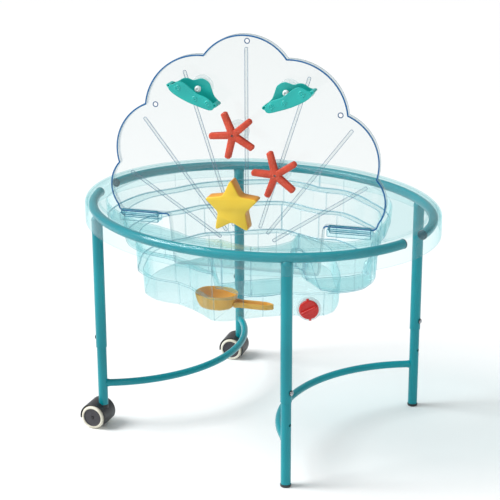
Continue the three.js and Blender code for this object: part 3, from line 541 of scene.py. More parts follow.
def legs():
    for tag, sx, sy, body, heading in LEGS:
        x, y = sx * LEG_X, sy * LEG_Y
        place = Matrix.Translation((x, y, 0))
        side = (sx, 0, 0)
        neck = RING_Z - RING_R
        upper = [
            (LEG_OUTER_BORE_R, LEG_OUTER_BOTTOM), (LEG_OUTER_R, LEG_OUTER_BOTTOM),
            (LEG_OUTER_R, neck - 7), (LEG_OUTER_R + 0.9, neck - 3), (LEG_OUTER_R - 0.4, neck + 2),
            (RING_R - 2, neck + 7), (RING_R - 4, neck + 7), (LEG_OUTER_BORE_R - 4, neck - 12),
            (LEG_OUTER_BORE_R, neck - 20),
        ]
        form = Form().lathe(upper, place, 56, 0.8, closed=True)
        form.piece(f"leg_upper_{tag}_painted", PAINT, TUB_BODY, [f"leg_upper_{tag}"], "paint", 50)
        bottom = FOOT_LEG_BOTTOM if heading is None else CASTER_LEG_BOTTOM
        lower = [
            (LEG_INNER_BORE_R, bottom), (LEG_INNER_R, bottom),
            (LEG_INNER_R, LEG_INNER_TOP), (LEG_INNER_BORE_R, LEG_INNER_TOP),
        ]
        form = Form().lathe(lower, place, 56, 0.5, closed=True)
        piece = form.piece(f"leg_lower_{tag}_painted", PAINT, body, [f"leg_lower_{tag}"], "paint", 50)
        drilled(piece, [(aimed(side, (x, y, z)), 4, 8, 20) for z in (SPARE_HOLE_Z, BOLT_Z)], 50)
        bolt(tag, aimed(side, (x, y, BOLT_Z)))
        if heading is None:
            foot_cap(tag, place, body)


def bolt(tag, place):
    face = LEG_OUTER_R + GAP
    washer = [(3.4, face), (7.2, face), (7.2, face + 1.4), (3.4, face + 1.4)]
    form = Form().lathe(washer, place, 36, 0.4, closed=True)
    form.moulded(f"bolt_washer_{tag}", BLACK, TUB_BODY, "black_plastic")
    seat = face + 1.75
    head = [
        (0, 13.05), (3, 13.05), (3, seat), (5.9, seat), (5.8, seat + 1.2), (4.4, seat + 2), (0, seat + 2.1),
    ]
    form = Form().lathe(head, place, 36, 0.5)
    hexagon = [(3.2 * math.cos(math.pi / 3 * k), 3.2 * math.sin(math.pi / 3 * k)) for k in range(6)]
    form.plate(hexagon, seat + 1.5, seat + 3.5, 0.5, place)
    form.piece(f"bolt_{tag}_plated", BOLT_METAL, TUB_BODY, [f"bolt_{tag}"], "bolt_metal")


def foot_cap(tag, place, body):
    r = LEG_INNER_R + 1
    cap = [
        (0, 0), (r - 1.2, 0), (r, 1.5), (r, 6.6), (LEG_INNER_BORE_R - 0.4, 6.6),
        (LEG_INNER_BORE_R - 0.4, 26), (0, 26),
    ]
    form = Form().lathe(cap, place, 48, 0.8)
    form.moulded(f"foot_cap_{tag}", BLACK, body, "black_plastic")


def stretchers():
    radius = (LEG_Y ** 2 + STRETCHER_SAG ** 2) / (2 * STRETCHER_SAG)
    half = math.asin(LEG_Y / radius)
    weld_at = (LEG_INNER_R + 1.2) / radius
    steps = 90
    for tag, sx, body in (("left", -1, "left_frame"), ("right", 1, "right_frame")):
        centre = sx * (LEG_X - STRETCHER_SAG + radius)
        middle = 0 if sx < 0 else math.pi
        path, radii = [], []
        offsets = [-half + weld_at * k / 8 for k in range(17)]
        offsets += [(-half + 2 * weld_at) + (2 * half - 4 * weld_at) * k / steps for k in range(1, steps)]
        offsets += [half - weld_at * k / 8 for k in range(16, -1, -1)]
        for k in offsets:
            a = middle + k
            path.append((centre + radius * math.cos(a), radius * math.sin(a), STRETCHER_Z))
            off = (half - abs(k) - weld_at) / weld_at
            radii.append(STRETCHER_R + 1.1 * math.exp(-((off / 0.22) ** 2)))
        form = Form().bar(path[2:-2], radii[2:-2], 32)
        form.piece(f"stretcher_{tag}_painted", PAINT, body, [f"stretcher_{tag}"], "paint")


# ------------------------------------------------------------------ casters
def caster(tag, sx, sy, heading):
    x, y = sx * LEG_X, sy * LEG_Y
    place = turned(heading + 90, x, y)
    socket = [
        (5.35, 50), (LEG_INNER_R + 0.4, 50), (LEG_INNER_R + 0.4, 61.6), (LEG_INNER_BORE_R - 0.4, 61.6),
        (LEG_INNER_BORE_R - 0.4, 98), (5.35, 98),
    ]
    form = Form().lathe(socket, Matrix.Translation((x, y, 0)), 40, 0.8, closed=True)
    form.moulded(f"caster_socket_{tag}", BLACK, "left_frame", "black_plastic")

    cx = -CASTER_TRAIL
    upright = place @ Matrix.Rotation(math.pi / 2, 4, "X")
    arc = [math.radians(-28 + 218 * k / 56) for k in range(57)]
    outer = [(cx + 36.5 * math.cos(a), WHEEL_R + 36.5 * math.sin(a)) for a in arc]
    inner = [(cx + 33.6 * math.cos(a), WHEEL_R + 33.6 * math.sin(a)) for a in reversed(arc)]
    form = Form()
    form.plate(outer + inner, -32, 32, 1.3, upright)
    web = [(cx + 35 * math.cos(a), WHEEL_R + 35 * math.sin(a)) for a in arc]
    web += [(cx - 8, WHEEL_R - 14), (cx + 10, WHEEL_R - 16)]
    form.plate(web, -12, 12, 1.5, upright)
    form.lathe([(0, 40), (13.5, 40), (13.5, 49.5), (0, 49.5)], place, 40, 1.2)
    form.lathe([(0, 30), (5, 30), (5, 92), (0, 92)], place, 28, 0.8)
    toward = place @ aimed((0, 1, 0), (cx, 0, WHEEL_R))
    form.lathe([(0, -35.8), (4, -35.8), (4, 35.8), (0, 35.8)], toward, 28, 0.8)
    form.moulded(f"caster_housing_{tag}", BLACK, f"caster_{tag}", "black_plastic")
    for side, sign in (("near", -1), ("far", 1)):
        wheel(tag, side, place @ aimed((0, sign, 0), (cx, 0, WHEEL_R)))


def wheel(tag, side, place):
    body = f"wheel_{side}_{tag}"
    out = WHEEL_IN + WHEEL_WIDTH
    tread = [
        (24.9, WHEEL_IN), (WHEEL_R - 1.5, WHEEL_IN), (WHEEL_R, WHEEL_IN + 3), (WHEEL_R, out - 6),
        (WHEEL_R - 1.2, out - 2), (WHEEL_R - 3.5, out), (24.9, out),
    ]
    form = Form().lathe(tread, place, 72, 1.4, closed=True)
    form.moulded(f"caster_tread_{side}_{tag}", TREAD, body, "tread", 50)
    hub = [
        (4.35, WHEEL_IN - 2), (9, WHEEL_IN - 2), (9, WHEEL_IN + 1), (24.5, WHEEL_IN + 1), (24.5, out - 1),
        (22.6, out - 1), (21.8, out - 2.6), (8, out - 2), (4.35, out - 2),
    ]
    form = Form().lathe(hub, place, 72, 0.5, closed=True)
    form.moulded(f"caster_hub_{side}_{tag}", HUB_BLACK, body, "black_plastic", 30)


# ------------------------------------------------------------------ tub
def radius_at(table, degrees):
    """Smooth closed interpolation through (degrees, radius) pairs."""
    count = len(table)
    d = degrees % 360
    i = next((k for k, (a, _) in enumerate(table) if a > d), count)

    def knot(k):
        a, r = table[k % count]
        return a + 360 * (k // count), r

    (x0, y0), (x1, y1), (x2, y2), (x3, y3) = (knot(i + k) for k in (-2, -1, 0, 1))
    h = x2 - x1
    t = (d - x1) / h
    m1 = (y2 - y0) / (x2 - x0)
    m2 = (y3 - y1) / (x3 - x1)
    smooth = (
        (2 * t ** 3 - 3 * t ** 2 + 1) * y1 + (t ** 3 - 2 * t ** 2 + t) * h * m1
        + (3 * t ** 2 - 2 * t ** 3) * y2 + (t ** 3 - t ** 2) * h * m2
    )
    return smooth * (1 - FACET_SHARE) + (y1 + (y2 - y1) * t) * FACET_SHARE


def smoothstep(t):
    t = min(max(t, 0.0), 1.0)
    return t * t * (3 - 2 * t)


def tub_section(degrees):
    """Radii of the four walls at one angle, and the heights of the two upper ledges."""
    share = max(
        smoothstep(min(degrees - a, b - degrees) / POCKET_FADE + 0.5) for a, b in POCKETS
    )
    opening = radius_at(OPENING, degrees)
    basin = radius_at(BASIN, degrees)
    room = opening - 6 - basin
    middle = basin + 4 + max(room * 0.42, 4) * (1 - 0.5 * share)
    return {
        "a": opening,
        "b": min(middle, opening - 5),
        "c": basin,
        "d": min(basin - 5.5, radius_at(FLOOR, degrees)),
        "za": LEDGE_A_Z + (POCKET_Z - LEDGE_A_Z) * share,
        "zb": LEDGE_B_Z + (POCKET_Z - LEDGE_B_Z) * share,
        "share": share,
    }


def beside_ring(degrees, out, z):
    """A point at a distance outwards from the ring's centre line."""
    a = math.radians(degrees)
    r = 1 / math.hypot(math.cos(a) / RING_A, math.sin(a) / RING_B)
    x, y = r * math.cos(a), r * math.sin(a)
    n = Vector((x / RING_A ** 2, y / RING_B ** 2)).normalized()
    return Vector((x + n.x * out, y + n.y * out, z))


def at_radius(degrees, r, z):
    a = math.radians(degrees)
    return Vector((r * math.cos(a), r * math.sin(a), z))


def tub_profile(g, s):
    """Corners of the tub's wall at one angle, once over the top and back underneath:
    (point, round, how much colour the corner gathers, which upright wall it belongs to)."""
    t = WALL
    return [
        (beside_ring(g, SKIRT_OUT, SKIRT_BOTTOM), 1.2, 0.35, None),
        (beside_ring(g, SKIRT_OUT, CROWN_TOP - 8), 5, 0.1, None),
        (beside_ring(g, SKIRT_OUT - 6, CROWN_TOP - 1.5), 6, 0.05, None),
        (beside_ring(g, 3, CROWN_TOP), 8, 0.0, None),
        (beside_ring(g, -11, CROWN_TOP - 1), 5, 0.1, None),
        (beside_ring(g, -17, FLANGE_TOP), 3, 0.2, None),
        (at_radius(g, s["a"], FLANGE_TOP), 4.5, 0.5, "a"),
        (at_radius(g, s["a"] - 2.5, s["za"]), 3.5, 0.35, "a"),
        (at_radius(g, s["b"], s["za"]), 4, 0.85, "b"),
        (at_radius(g, s["b"] - 1.5, s["zb"]), 3.5, 0.3, "b"),
        (at_radius(g, s["c"], s["zb"]), 4, 0.85, "c"),
        (at_radius(g, s["c"] - 2, LEDGE_C_Z), 3.5, 0.3, "c"),
        (at_radius(g, s["d"], LEDGE_C_Z), 4, 0.7, "d"),
        (at_radius(g, s["d"] - 4, FLOOR_Z), 4, 0.2, "d"),
        (at_radius(g, s["d"] - 4 + t, FLOOR_Z - t), 6, 0.75, "d"),
        (at_radius(g, s["d"] + t, LEDGE_C_Z - t), 3, 0.15, "d"),
        (at_radius(g, s["c"] - 2 + t, LEDGE_C_Z - t), 5, 1.0, "c"),
        (at_radius(g, s["c"] + t, s["zb"] - t), 3, 0.15, "c"),
        (at_radius(g, s["b"] - 1.5 + t, s["zb"] - t), 5, 1.0, "b"),
        (at_radius(g, s["b"] + t, s["za"] - t), 3, 0.15, "b"),
        (at_radius(g, s["a"] - 2.5 + t, s["za"] - t), 5, 1.0, "a"),
        (at_radius(g, s["a"] + t, FLANGE_TOP - t), 3, 0.1, "a"),
        (beside_ring(g, -15, FLANGE_TOP - t), 3, 0.1, None),
        (beside_ring(g, -10, CROWN_TOP - 4.5), 3, 0.0, None),
        (beside_ring(g, 3, CROWN_TOP - t), 6, 0.0, None),
        (beside_ring(g, SKIRT_OUT - 8.5, CROWN_TOP - 4.5), 3, 0.0, None),
        (beside_ring(g, SKIRT_OUT - t, CROWN_TOP - 10), 4, 0.1, None),
        (beside_ring(g, SKIRT_OUT - t, SKIRT_BOTTOM), 1.2, 0.35, None),
    ]


def upright_creases(sections, steps):
    """How sharply each wall bends at each angle, from 0 to 1: its upright edges gather colour."""
    out = {}
    turn = 2 * math.pi / steps
    for key in "abcd":
        r = [s[key] for s in sections]
        out[key] = []
        for i in range(steps):
            slope = (r[(i + 1) % steps] - r[i - 1]) / (2 * turn)
            bend = (r[(i + 1) % steps] - 2 * r[i] + r[i - 1]) / turn ** 2
            curve = abs(r[i] ** 2 + 2 * slope ** 2 - r[i] * bend) / (r[i] ** 2 + slope ** 2) ** 1.5
            out[key].append(smoothstep((curve - 1 / 34) / (1 / 12 - 1 / 34)))
    return out


def tub():
    angles = [360 * k / TUB_STEPS for k in range(TUB_STEPS)]
    sections = [tub_section(g) for g in angles]
    bends = upright_creases(sections, TUB_STEPS)
    columns = []
    each = CORNER_STEPS + 1
    floor_top = (FLOOR_CORNER + 1) * each - 1
    for i, g in enumerate(angles):
        corners = tub_profile(g, sections[i])
        line = rounded([c[0] for c in corners], [c[1] for c in corners], CORNER_STEPS)
        column = []
        for k, (p, near) in enumerate(line):
            _, _, strength, wall = corners[k // each]
            upright = bends[wall][i] * (0.62 if k < floor_top else 0.3) if wall else 0.0
            column.append((p, max(strength * near, upright)))
        columns.append(column)
    size = len(columns[0])
    verts, creases, faces = [], [], []
    for column in columns:
        verts += [p for p, _ in column]
        creases += [w for _, w in column]
    centre = len(verts)
    verts += [Vector((0, 0, FLOOR_Z)), Vector((0, 0, FLOOR_Z - WALL))]
    creases += [0.0, 0.0]
    for i in range(TUB_STEPS):
        j = (i + 1) % TUB_STEPS
        for k in range(size):
            m = (k + 1) % size
            if k == floor_top:
                faces.append((i * size + k, j * size + k, centre))
                faces.append((j * size + m, i * size + m, centre + 1))
            else:
                faces.append((i * size + k, j * size + k, j * size + m, i * size + m))
    form = Form().put(verts, faces, creases)
    shell = form.piece("tub_shell", TUB_CLEAR, TUB_BODY, ["tub"], "tub_clear", 60)
    at, out = drain_place()
    drilled(shell, [(aimed(out, at), 13, -14, 12)], 60)


def drain_place():
    def wall(g):
        return at_radius(g, tub_section(g)["d"] - 2 + WALL, DRAIN_Z)

    along = wall(DRAIN_ANGLE + 4) - wall(DRAIN_ANGLE - 4)
    return wall(DRAIN_ANGLE), Vector((along.y, -along.x, 0)).normalized()


def drain():
    at, out = drain_place()
    place = aimed(out, at)
    ring = [(9, -9), (12.6, -9), (12.6, 3.2), (31, 3.2), (31, 6), (28, 7.5), (14, 7.5), (14, 12), (9, 12)]
    form = Form().lathe(ring, place, 64, 0.9, closed=True, crease=0.5)
    form.moulded("drain_ring", FLANGE_CLEAR, TUB_BODY, "fitting_clear")
    top = 17
    knob = [
        (0, 2), (8.6, 2), (8.6, 12.5), (14.5, 12.5), (14.5, 8.2), (24.5, 8.2), (25, 10), (24, top - 1.5),
        (20.5, top), (0, top + 0.5),
    ]
    form = Form().lathe(knob, place, 64, 1.2)
    turn = place @ Matrix.Rotation(math.radians(62), 4, "Z")
    grip = [(-22, -4.5), (22, -4.5), (22, 4.5), (-22, 4.5)]
    form.plate(round_cornered(grip, 4, 5), top - 3, top + 7.8, 2.4, turn)
    stop = [(-3, -29), (3, -29), (3, -23.5), (-3, -23.5)]
    for flip in (42, 222):
        form.plate(stop, 9, 13, 1, place @ Matrix.Rotation(math.radians(flip), 4, "Z"))
    form.moulded("drain_knob", DRAIN_RED, "drain_knob", "drain_red")


# ------------------------------------------------------------------ activity panel
PANEL_TURN = math.radians(PANEL_ANGLE)
U_AXIS = Vector((math.cos(PANEL_TURN), math.sin(PANEL_TURN), 0))
W_AXIS = Vector((math.sin(PANEL_TURN), -math.cos(PANEL_TURN), 0))
# takes a form drawn with x along the panel, y up and z forward to its place
ON_PANEL = Matrix.Translation((PANEL_X, PANEL_Y, 0)) @ Matrix(
    (U_AXIS, (0, 0, 1), W_AXIS)
).transposed().to_4x4()
CLOUD = [(107, 1002, 0), (262, 871, 40), (337, 714, 33), (343, 601, 20)]
TOP_BULGE = 55
RIBS = [(0, 560, 0, 1024), (34, 562, 161, 958), (53, 548, 270, 832), (68, 530, 309, 689)]
RIB_WIDTH = 9
PANEL_HOLES = [(2, 1039), (-239, 867), (239, 867)]
# where each peg stands on the panel, and how long its pin is
PEGS = {
    "cloud_left": (-112, 922, CUP_PIN), "cloud_right": (112, 924, CUP_PIN),
    "starfish_upper": (-19, 814, STARFISH_PIN), "starfish_lower": (90, 720, STARFISH_PIN),
    "star_cup": (-27, 624, STAR_CUP_PIN),
}


def lobe(p, q, bulge, steps):
    """Points of the arc from p to q that bulges to the left of the way from p to q, without q."""
    way = Vector(q) - Vector(p)
    chord = way.length
    left = Vector((-way.y, way.x)) / chord
    radius = chord ** 2 / (8 * bulge) + bulge / 2
    half = math.asin(chord / (2 * radius))
    out = []
    for i in range(steps):
        a = half - 2 * half * i / steps
        lift = math.cos(a) * radius - (radius - bulge)
        out.append(Vector(p) + way * (0.5 - math.sin(a) * radius / chord) + left * lift)
    return out


def panel_outline():
    right = []
    for (u0, z0, _), (u1, z1, bulge) in zip(CLOUD, CLOUD[1:]):
        right += lobe((u0, z0), (u1, z1), bulge, 30)
    corners = [
        (343, 601), (340, 590), (332, SHOULDER_Z), (SHOULDER_U + 3, SHOULDER_Z),
        (SHOULDER_U, SHOULDER_Z - 8), (TONGUE_U + 2, TONGUE_Z), (TONGUE_U - 30, TONGUE_Z),
    ]
    right += round_cornered(corners, 8, 5, closed=False)
    left = [Vector((-p.x, p.y)) for p in reversed(right)]
    top = lobe((-107, 1002), (107, 1002), TOP_BULGE, 44)[1:]
    return counter_clockwise(right + left + top)


def panel():
    outline = panel_outline()
    lip = 1.3
    stations = [
        (5, -PANEL_DEPTH, 0.0), (1.2, -PANEL_DEPTH, 0.4), (0, -PANEL_DEPTH + 1.2, 0.5),
        (0, -PANEL_DEPTH + 4, 0.0),
        (0, -4, 0.1), (0, -lip, 0.9), (lip * 0.5, 0, 1.0), (PANEL_RIM - lip * 0.5, 0, 1.0),
        (PANEL_RIM, -lip, 0.8), (PANEL_RIM, -4, 0.05), (PANEL_RIM, SHEET_W + 3, 0.0),
        (PANEL_RIM + 0.8, SHEET_W + 0.8, 0.2), (PANEL_RIM + 3, SHEET_W, 0.0),
    ]
    rings, creases = [], []
    for inset, w, crease in stations:
        rings.append([(p.x, p.y, w) for p in drawn_in(outline, inset)])
        creases += [crease * (1 if p.y > SHOULDER_Z - 4 else 0.35) for p in outline]
    form = Form().rings(rings, creases, ON_PANEL)
    for u0, z0, u1, z1 in RIBS:
        for side in (1,) if u1 == 0 else (1, -1):
            length = math.hypot(u1 - u0, z1 - z0)
            angle = math.atan2(z1 - z0, side * (u1 - u0))
            half = RIB_WIDTH / 2
            strip = [(0, -half), (length, -half), (length, half), (0, half)]
            strip = round_cornered(strip, half, 5)
            place = ON_PANEL @ Matrix.Translation((side * u0, z0, 0)) @ Matrix.Rotation(angle, 4, "Z")
            form.plate(strip, SHEET_W + 0.05, SHEET_W + 2.5, 1.2, place, 0.72)
    sheet = form.piece("panel_sheet", PANEL_CLEAR, "panel", ["panel"], "panel_clear", 50)
    holes = [(ON_PANEL @ Matrix.Translation((u, z, 0)), 5, -26, -10) for u, z in PANEL_HOLES]
    drilled(sheet, holes, 50)
    eyelets = Form()
    for u, z in PANEL_HOLES:
        place = ON_PANEL @ Matrix.Translation((u, z, SHEET_W))
        eyelets.lathe([(5, 0.1), (7.4, 0.1), (7.4, 1.4), (5, 1.4)], place, 32, 0.4, closed=True, crease=1.0)
    eyelets.creases = [0.9] * len(eyelets.creases)
    eyelets.piece("panel_eyelets", PANEL_CLEAR, "panel", (), "panel_clear")


def pegs():
    for tag, (u, z, pin) in PEGS.items():
        cup = [(0, 1.2), (20, 0.1), (28, 0), (28, 1.4), (18, 5), (9, 8), (4, 12)]
        cup += [(4, pin), (2.5, pin + PIN_TIP), (0, pin + PIN_TIP)]
        place = ON_PANEL @ Matrix.Translation((u, z, PEG_FACE))
        form = Form().lathe(cup, place, 56, 1.0, crease=0.5)
        form.moulded(f"peg_{tag}", FITTING_CLEAR, "panel", "fitting_clear")


def brackets():
    for tag, u0, u1 in (("left", -336, -230), ("right", 213, 326)):
        base = [(u0, 561.4), (u1, 561.4), (u1, SHOULDER_Z - 0.4), (u0, SHOULDER_Z - 0.4)]
        form = Form().plate(round_cornered(base, 4), -24, 8, 1.2, ON_PANEL, 1.0)
        low, high = SHOULDER_Z - 8, SHOULDER_Z + 9
        face = [(u0 + 4, low), (u1, low), (u1, high), (u0 + 4, high)]
        form.plate(round_cornered(face, 6, 5), 1.35, 8.0, 1.2, ON_PANEL, 1.0)
        form.moulded(f"panel_bracket_{tag}", BRACKET_CLEAR, TUB_BODY, "fitting_clear")
        screw_u = (u0 + u1) / 2 + (-14 if u0 < 0 else 14)
        place = ON_PANEL @ Matrix.Translation((screw_u, SHOULDER_Z + 1, 0))
        screw = [(0, 8.3), (8, 8.3), (8, 12), (6.5, 14), (3.5, 14), (3, 12.6), (0, 12.6)]
        form = Form().lathe(screw, place, 40, 0.8, crease=0.8)
        form.moulded(f"bracket_screw_{tag}", BRACKET_CLEAR, TUB_BODY, "fitting_clear")


# ------------------------------------------------------------------ toys
def starfish(tag, phase):
    """A spinner: five arms, each a round front ridge and back ridge joined by a thinner web."""
    u, z, pin = PEGS[f"starfish_{tag}"]
    face = PEG_FACE + pin + PIN_TIP + GAP + TOY_SKIN
    place = ON_PANEL @ Matrix.Translation((u, z, face))
    form = Form()
    form.lathe([(0, -19.6), (14, -19.6), (14, -0.6), (0, -0.6)], place, 40, 3.5)
    for arm in range(5):
        turn = place @ Matrix.Rotation(math.radians(phase + 72 * arm), 4, "Z")
        for depth, wide in ((-4.4, 1.0), (-15.6, 0.94)):
            path, radii = [], []
            for k in range(31):
                r = 2 + 59.4 * k / 30
                taper = (9.2 - 1.2 * k / 30 + 0.35 * math.sin(k * 1.9)) * wide
                end = max(0.0, (r - 56.5) / 5.0)
                path.append((r, 0, depth))
                radii.append(max(taper * math.sqrt(max(0.0, 1 - end * end)), 0.8))
            flat = turn @ Matrix.Translation((0, 0, depth)) @ Matrix.Diagonal((1, 1, 0.47, 1))
            flat = flat @ Matrix.Translation((0, 0, -depth))
            form.bar(path, radii, 20, flat)
        web = [(0, -4.6), (56, -4.2), (56, 4.2), (0, 4.6)]
        form.plate(web, -15, -5, 0.5, turn)
    thing = form.moulded(f"starfish_{tag}", STARFISH_ORANGE, f"starfish_{tag}", "starfish_orange")
    fused(thing, 0.9, 3)
    axis = ON_PANEL @ Matrix.Translation((u, z, 0))
    drilled(thing, [(axis, PIN_HOLE_R, face - 25, face - TOY_SKIN), (axis, 3.2, face - 4, face + 4)], 60)


def star_points(outer, inner, turn):
    return [
        Vector((r * math.cos(a), r * math.sin(a)))
        for i in range(10)
        for r, a in [(inner if i % 2 else outer, math.radians(turn + 36 * i))]
    ]


def star_ring(outer, inner, tip, notch):
    radii = [notch if i % 2 else tip for i in range(10)]
    return round_cornered(star_points(outer, inner, 91), radii, 8)


def star_cup():
    depth = STAR_CUP_DEPTH
    u, z, pin = PEGS["star_cup"]
    face = PEG_FACE + pin + PIN_TIP + GAP + TOY_SKIN + STAR_CUP_REACH
    place = ON_PANEL @ Matrix.Translation((u, z, face))
    out, room = star_ring(75, 37, 13, 9), star_ring(71, 34.4, 11, 8)
    stations = [
        (room, 0.0, -TOY_SKIN), (room, 0.0, -depth + 0.8), (room, -0.6, -depth), (out, 0.6, -depth),
        (out, 0.0, -depth + 0.8), (out, 0.0, -2.2), (out, 0.6, -0.7), (out, 2.0, 0.0),
    ]
    form = Form()
    rings = [[(p.x, p.y, w) for p in drawn_in(line, by)] for line, by, w in stations]
    # slot 1 (the side walls, the inside, the back rim and the boss) takes the painted-shade copy of the
    # yellow; slot 0 (the front face and its rounding) takes the plain yellow
    form.rings(rings[:6], None, place, 1, caps=False)
    form.rings(rings[5:], None, place, 0, caps=False)
    size = len(rings[0])
    form.put(rings[0], [tuple(range(size))], None, place, 1)
    form.put(rings[-1], [tuple(range(size))], None, place, 0)
    boss = [(PIN_HOLE_R, -depth + 12), (8, -depth + 12), (8, -2.4), (PIN_HOLE_R, -2.4)]
    form.lathe(boss, place, 32, 0.5, closed=True, slot=1)
    form.moulded("star_cup", [STAR_YELLOW, STAR_SHADED_WALL], "star_cup", "star_yellow", 45)


CLOUD_BACK = [
    (-79, -14), (-60, -24), (-20, -33), (20, -37), (54, -38), (64, -30), (62, -18), (48, -9), (36, 6),
    (27, 18), (14, 24), (0, 25), (-12, 20), (-24, 15), (-40, 16), (-54, 12), (-66, 2), (-78, -5),
]
CLOUD_FRONT = [
    (-79, -14), (-60, -24), (-20, -33), (20, -37), (54, -38), (64, -30), (60, -20), (46, -12), (30, -8),
    (10, -6), (-10, 1), (-30, 9), (-46, 12), (-58, 8), (-68, 1), (-78, -6),
]
CLOUD_WALL = [
    (-76, -4), (-77, -13), (-60, -22), (-20, -31), (20, -35), (53, -36), (61, -30), (60, -18),
]


def swirl(x, y, size, turns, way):
    """A raised spiral line on the front of a cup."""
    count = 40
    points = []
    for k in range(count + 1):
        a = way * turns * 2 * math.pi * k / count
        r = size * (0.12 + 0.88 * k / count)
        points.append((x + r * math.cos(a), y + r * math.sin(a), 38.0))
    return points


def cloud_cup(tag, way, tilt):
    """A tipping cup on its peg; way is 1, or -1 for the cup drawn the other way round."""
    u, z, pin = PEGS[f"cloud_{tag}"]
    place = ON_PANEL @ Matrix.Translation((u, z, PEG_FACE + pin - CUP_SETBACK))
    place = place @ Matrix.Rotation(math.radians(tilt), 4, "Z")
    place = place @ Matrix.Diagonal((way * CUP_STRETCH, 1, 1, 1))
    form = Form()
    form.plate(smooth_loop(CLOUD_BACK), 0.1, 3.2, 1.2, place)
    form.plate(smooth_loop(CLOUD_FRONT), 35, 38, 1.2, place)
    wall = smooth_loop(CLOUD_WALL)[: (len(CLOUD_WALL) - 1) * 5 + 1]
    band = []
    for i, p in enumerate(wall):
        ahead = (wall[min(i + 1, len(wall) - 1)] - wall[max(i - 1, 0)]).normalized()
        band.append((p, Vector((-ahead.y, ahead.x))))
    strip = [p - n * 1.5 for p, n in band] + [p + n * 1.5 for p, n in reversed(band)]
    form.plate(strip, 1, 37, 0.8, place)
    for x, y, size, spin in ((44, -24, 8.5, 1), (-52, -4, 8.5, -1), (4, -21, 7.0, 1)):
        form.bar(swirl(x, y, size, 1.5, spin), 1.7, 8, place)
    thing = form.moulded(f"cloud_cup_{tag}", CUP_TEAL, f"cloud_cup_{tag}", "cup_teal")
    fused(thing, 0.8, 2)
    axis = ON_PANEL @ Matrix.Translation((u, z, 0))
    drilled(thing, [(axis, PIN_HOLE_R, 0, PEG_FACE + pin - 4)], 60)

    cap = ON_PANEL @ Matrix.Translation((u, z, PEG_FACE))
    knob = [(0, 37.9), (7.4, 37.9), (8.4, 41), (7, 46), (3.6, 48), (2.2, 46.2), (0, 46)]
    form = Form().lathe(knob, cap, 40, 1.2)
    form.moulded(f"peg_cap_{tag}", PEG_WHITE, "panel", "fitting_clear")


def scoop():
    rim = [
        (-52, -12), (-40, -32), (-14, -40), (16, -38), (36, -25), (44, -12), (44, 12), (36, 25), (16, 38),
        (-14, 40), (-40, 32), (-52, 12),
    ]
    line = smooth_loop(rim, 6)
    top = BOWL_TOP
    outside = [
        (0.56, 0), (0.64, 1.2), (0.76, 4.5), (0.84, 9), (0.92, 19), (0.97, 29), (1.0, top - 1), (0.99, top),
    ]
    inside = [(0.955, top), (0.94, top - 1), (0.9, 26), (0.84, 16), (0.74, 8.5), (0.62, 4.4), (0.5, 3)]
    place = turned(SCOOP_TURN, SCOOP_X, SCOOP_Y, FLOOR_Z + GAP)
    rings = []
    for share, z in outside + inside:
        size = share * BOWL_SCALE
        rings.append([(p.x * size, p.y * size, z) for p in line])
    form = Form().rings(rings, None, place)
    edge = [(44, -15), (60, -13), (100, -14), (126, -12), (145, 0), (126, 12), (100, 14), (60, 13), (44, 15)]
    outer = smooth_loop(edge, 6)
    inner = drawn_in(counter_clockwise(outer), 3)
    outer = counter_clockwise(outer)
    stations = [
        (outer, 2.0, 8), (outer, 0.5, 8.6), (outer, 0, 10), (outer, 0, 21.2), (outer, 0.6, 22),
        (inner, -0.6, 22), (inner, 0, 21.2), (inner, 0, 13), (inner, 1.2, 12),
    ]
    rings = [[(p.x, p.y, z) for p in drawn_in(points, by)] for points, by, z in stations]
    form.rings(rings, None, place)
    form.moulded("scoop", SCOOP_ORANGE, "scoop", "scoop_orange", 50)


# ------------------------------------------------------------------ floor, light and camera
WORLD_LIGHT, WORLD_SEEN = 0.52, 1.0
SUN_STRENGTH, SUN_SPREAD, SUN_AHEAD = 2.6, 32, (3.4, 2.6, -4.6)
LENS, CAMERA_AT, CAMERA_ROLL = 107.31, (2.2062, -2.9862, 1.6895), -0.179
CAMERA_AHEAD = (-0.5702, 0.7600, -0.3118)


def floor():
    n = Nodes("floor_paper")
    base = n.mix(n.noise(0.8, 2), (0.92, 0.92, 0.92), (0.9, 0.905, 0.91))
    material = n.finish(n.add("BsdfPrincipled", {"Base Color": base, "Roughness": 0.75}).outputs[0])
    mesh = bpy.data.meshes.new("floor")
    half = 14.0
    corners = [(-half, -half, 0), (half, -half, 0), (half, half + 8, 0), (-half, half + 8, 0)]
    mesh.from_pydata(corners, [], [(0, 1, 2, 3)])
    mesh.materials.append(material)
    added("floor", mesh)


def lamp(name, at, look, size, energy):
    data = bpy.data.lights.new(name, "AREA")
    data.shape = "RECTANGLE"
    data.size, data.size_y = size
    data.energy = energy
    thing = added(name, data)
    thing.location = at
    thing.rotation_mode = "QUATERNION"
    thing.rotation_quaternion = (Vector(look) - Vector(at)).to_track_quat("-Z", "Y")


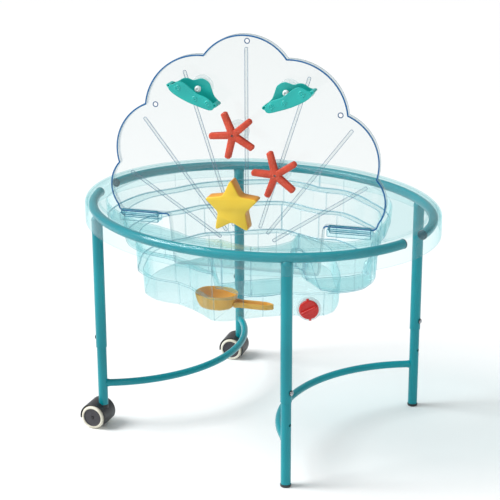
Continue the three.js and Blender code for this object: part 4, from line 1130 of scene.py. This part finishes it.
def light():
    """A white world, which the camera sees brighter than it lights, with a soft sun and two lamps."""
    world = bpy.data.worlds.new("studio")
    world.use_nodes = True
    tree = world.node_tree
    tree.nodes.clear()
    both = tree.nodes.new("ShaderNodeMixShader")
    for k, strength in ((1, WORLD_LIGHT), (2, WORLD_SEEN)):
        sky = tree.nodes.new("ShaderNodeBackground")
        sky.inputs["Color"].default_value = (1, 1, 1, 1)
        sky.inputs["Strength"].default_value = strength
        tree.links.new(sky.outputs[0], both.inputs[k])
    seen = tree.nodes.new("ShaderNodeLightPath").outputs["Is Camera Ray"]
    tree.links.new(seen, both.inputs[0])
    tree.links.new(both.outputs[0], tree.nodes.new("ShaderNodeOutputWorld").inputs["Surface"])
    bpy.context.scene.world = world
    key = bpy.data.lights.new("key", "SUN")
    key.energy = SUN_STRENGTH
    key.angle = math.radians(SUN_SPREAD)
    thing = added("key", key)
    thing.rotation_mode = "QUATERNION"
    thing.rotation_quaternion = Vector(SUN_AHEAD).to_track_quat("-Z", "Y")
    lamp("window", (-3.4, -3.0, 3.4), (0, 0, 0.4), (0.9, 2.6), 60)
    lamp("fill", (3.4, -3.6, 2.6), (0, 0, 0.5), (1.2, 2.0), 16)
    scene = bpy.context.scene
    scene.view_settings.view_transform = "Standard"
    scene.cycles.transparent_max_bounces = 96
    scene.cycles.max_bounces = 14


def camera():
    """Stands where the table is seen from the front right, a little above its rim."""
    data = bpy.data.cameras.new("camera")
    data.sensor_width = 36
    data.lens = LENS
    data.clip_start, data.clip_end = 0.05, 200
    thing = added("camera", data)
    thing.location = CAMERA_AT
    thing.rotation_mode = "QUATERNION"
    roll = Matrix.Rotation(math.radians(CAMERA_ROLL), 3, "Z").to_quaternion()
    thing.rotation_quaternion = Vector(CAMERA_AHEAD).to_track_quat("-Z", "Y") @ roll
    bpy.context.scene.camera = thing


camera()
light()
floor()
ring_tubes()
legs()
stretchers()
for leg_tag, leg_x, leg_y, _, leg_heading in LEGS:
    if leg_heading is not None:
        caster(leg_tag, leg_x, leg_y, leg_heading)
tub()
drain()
panel()
pegs()
brackets()
starfish("upper", 41)
starfish("lower", 33)
star_cup()
cloud_cup("left", 1, -13)
cloud_cup("right", -1, 13)
scoop()
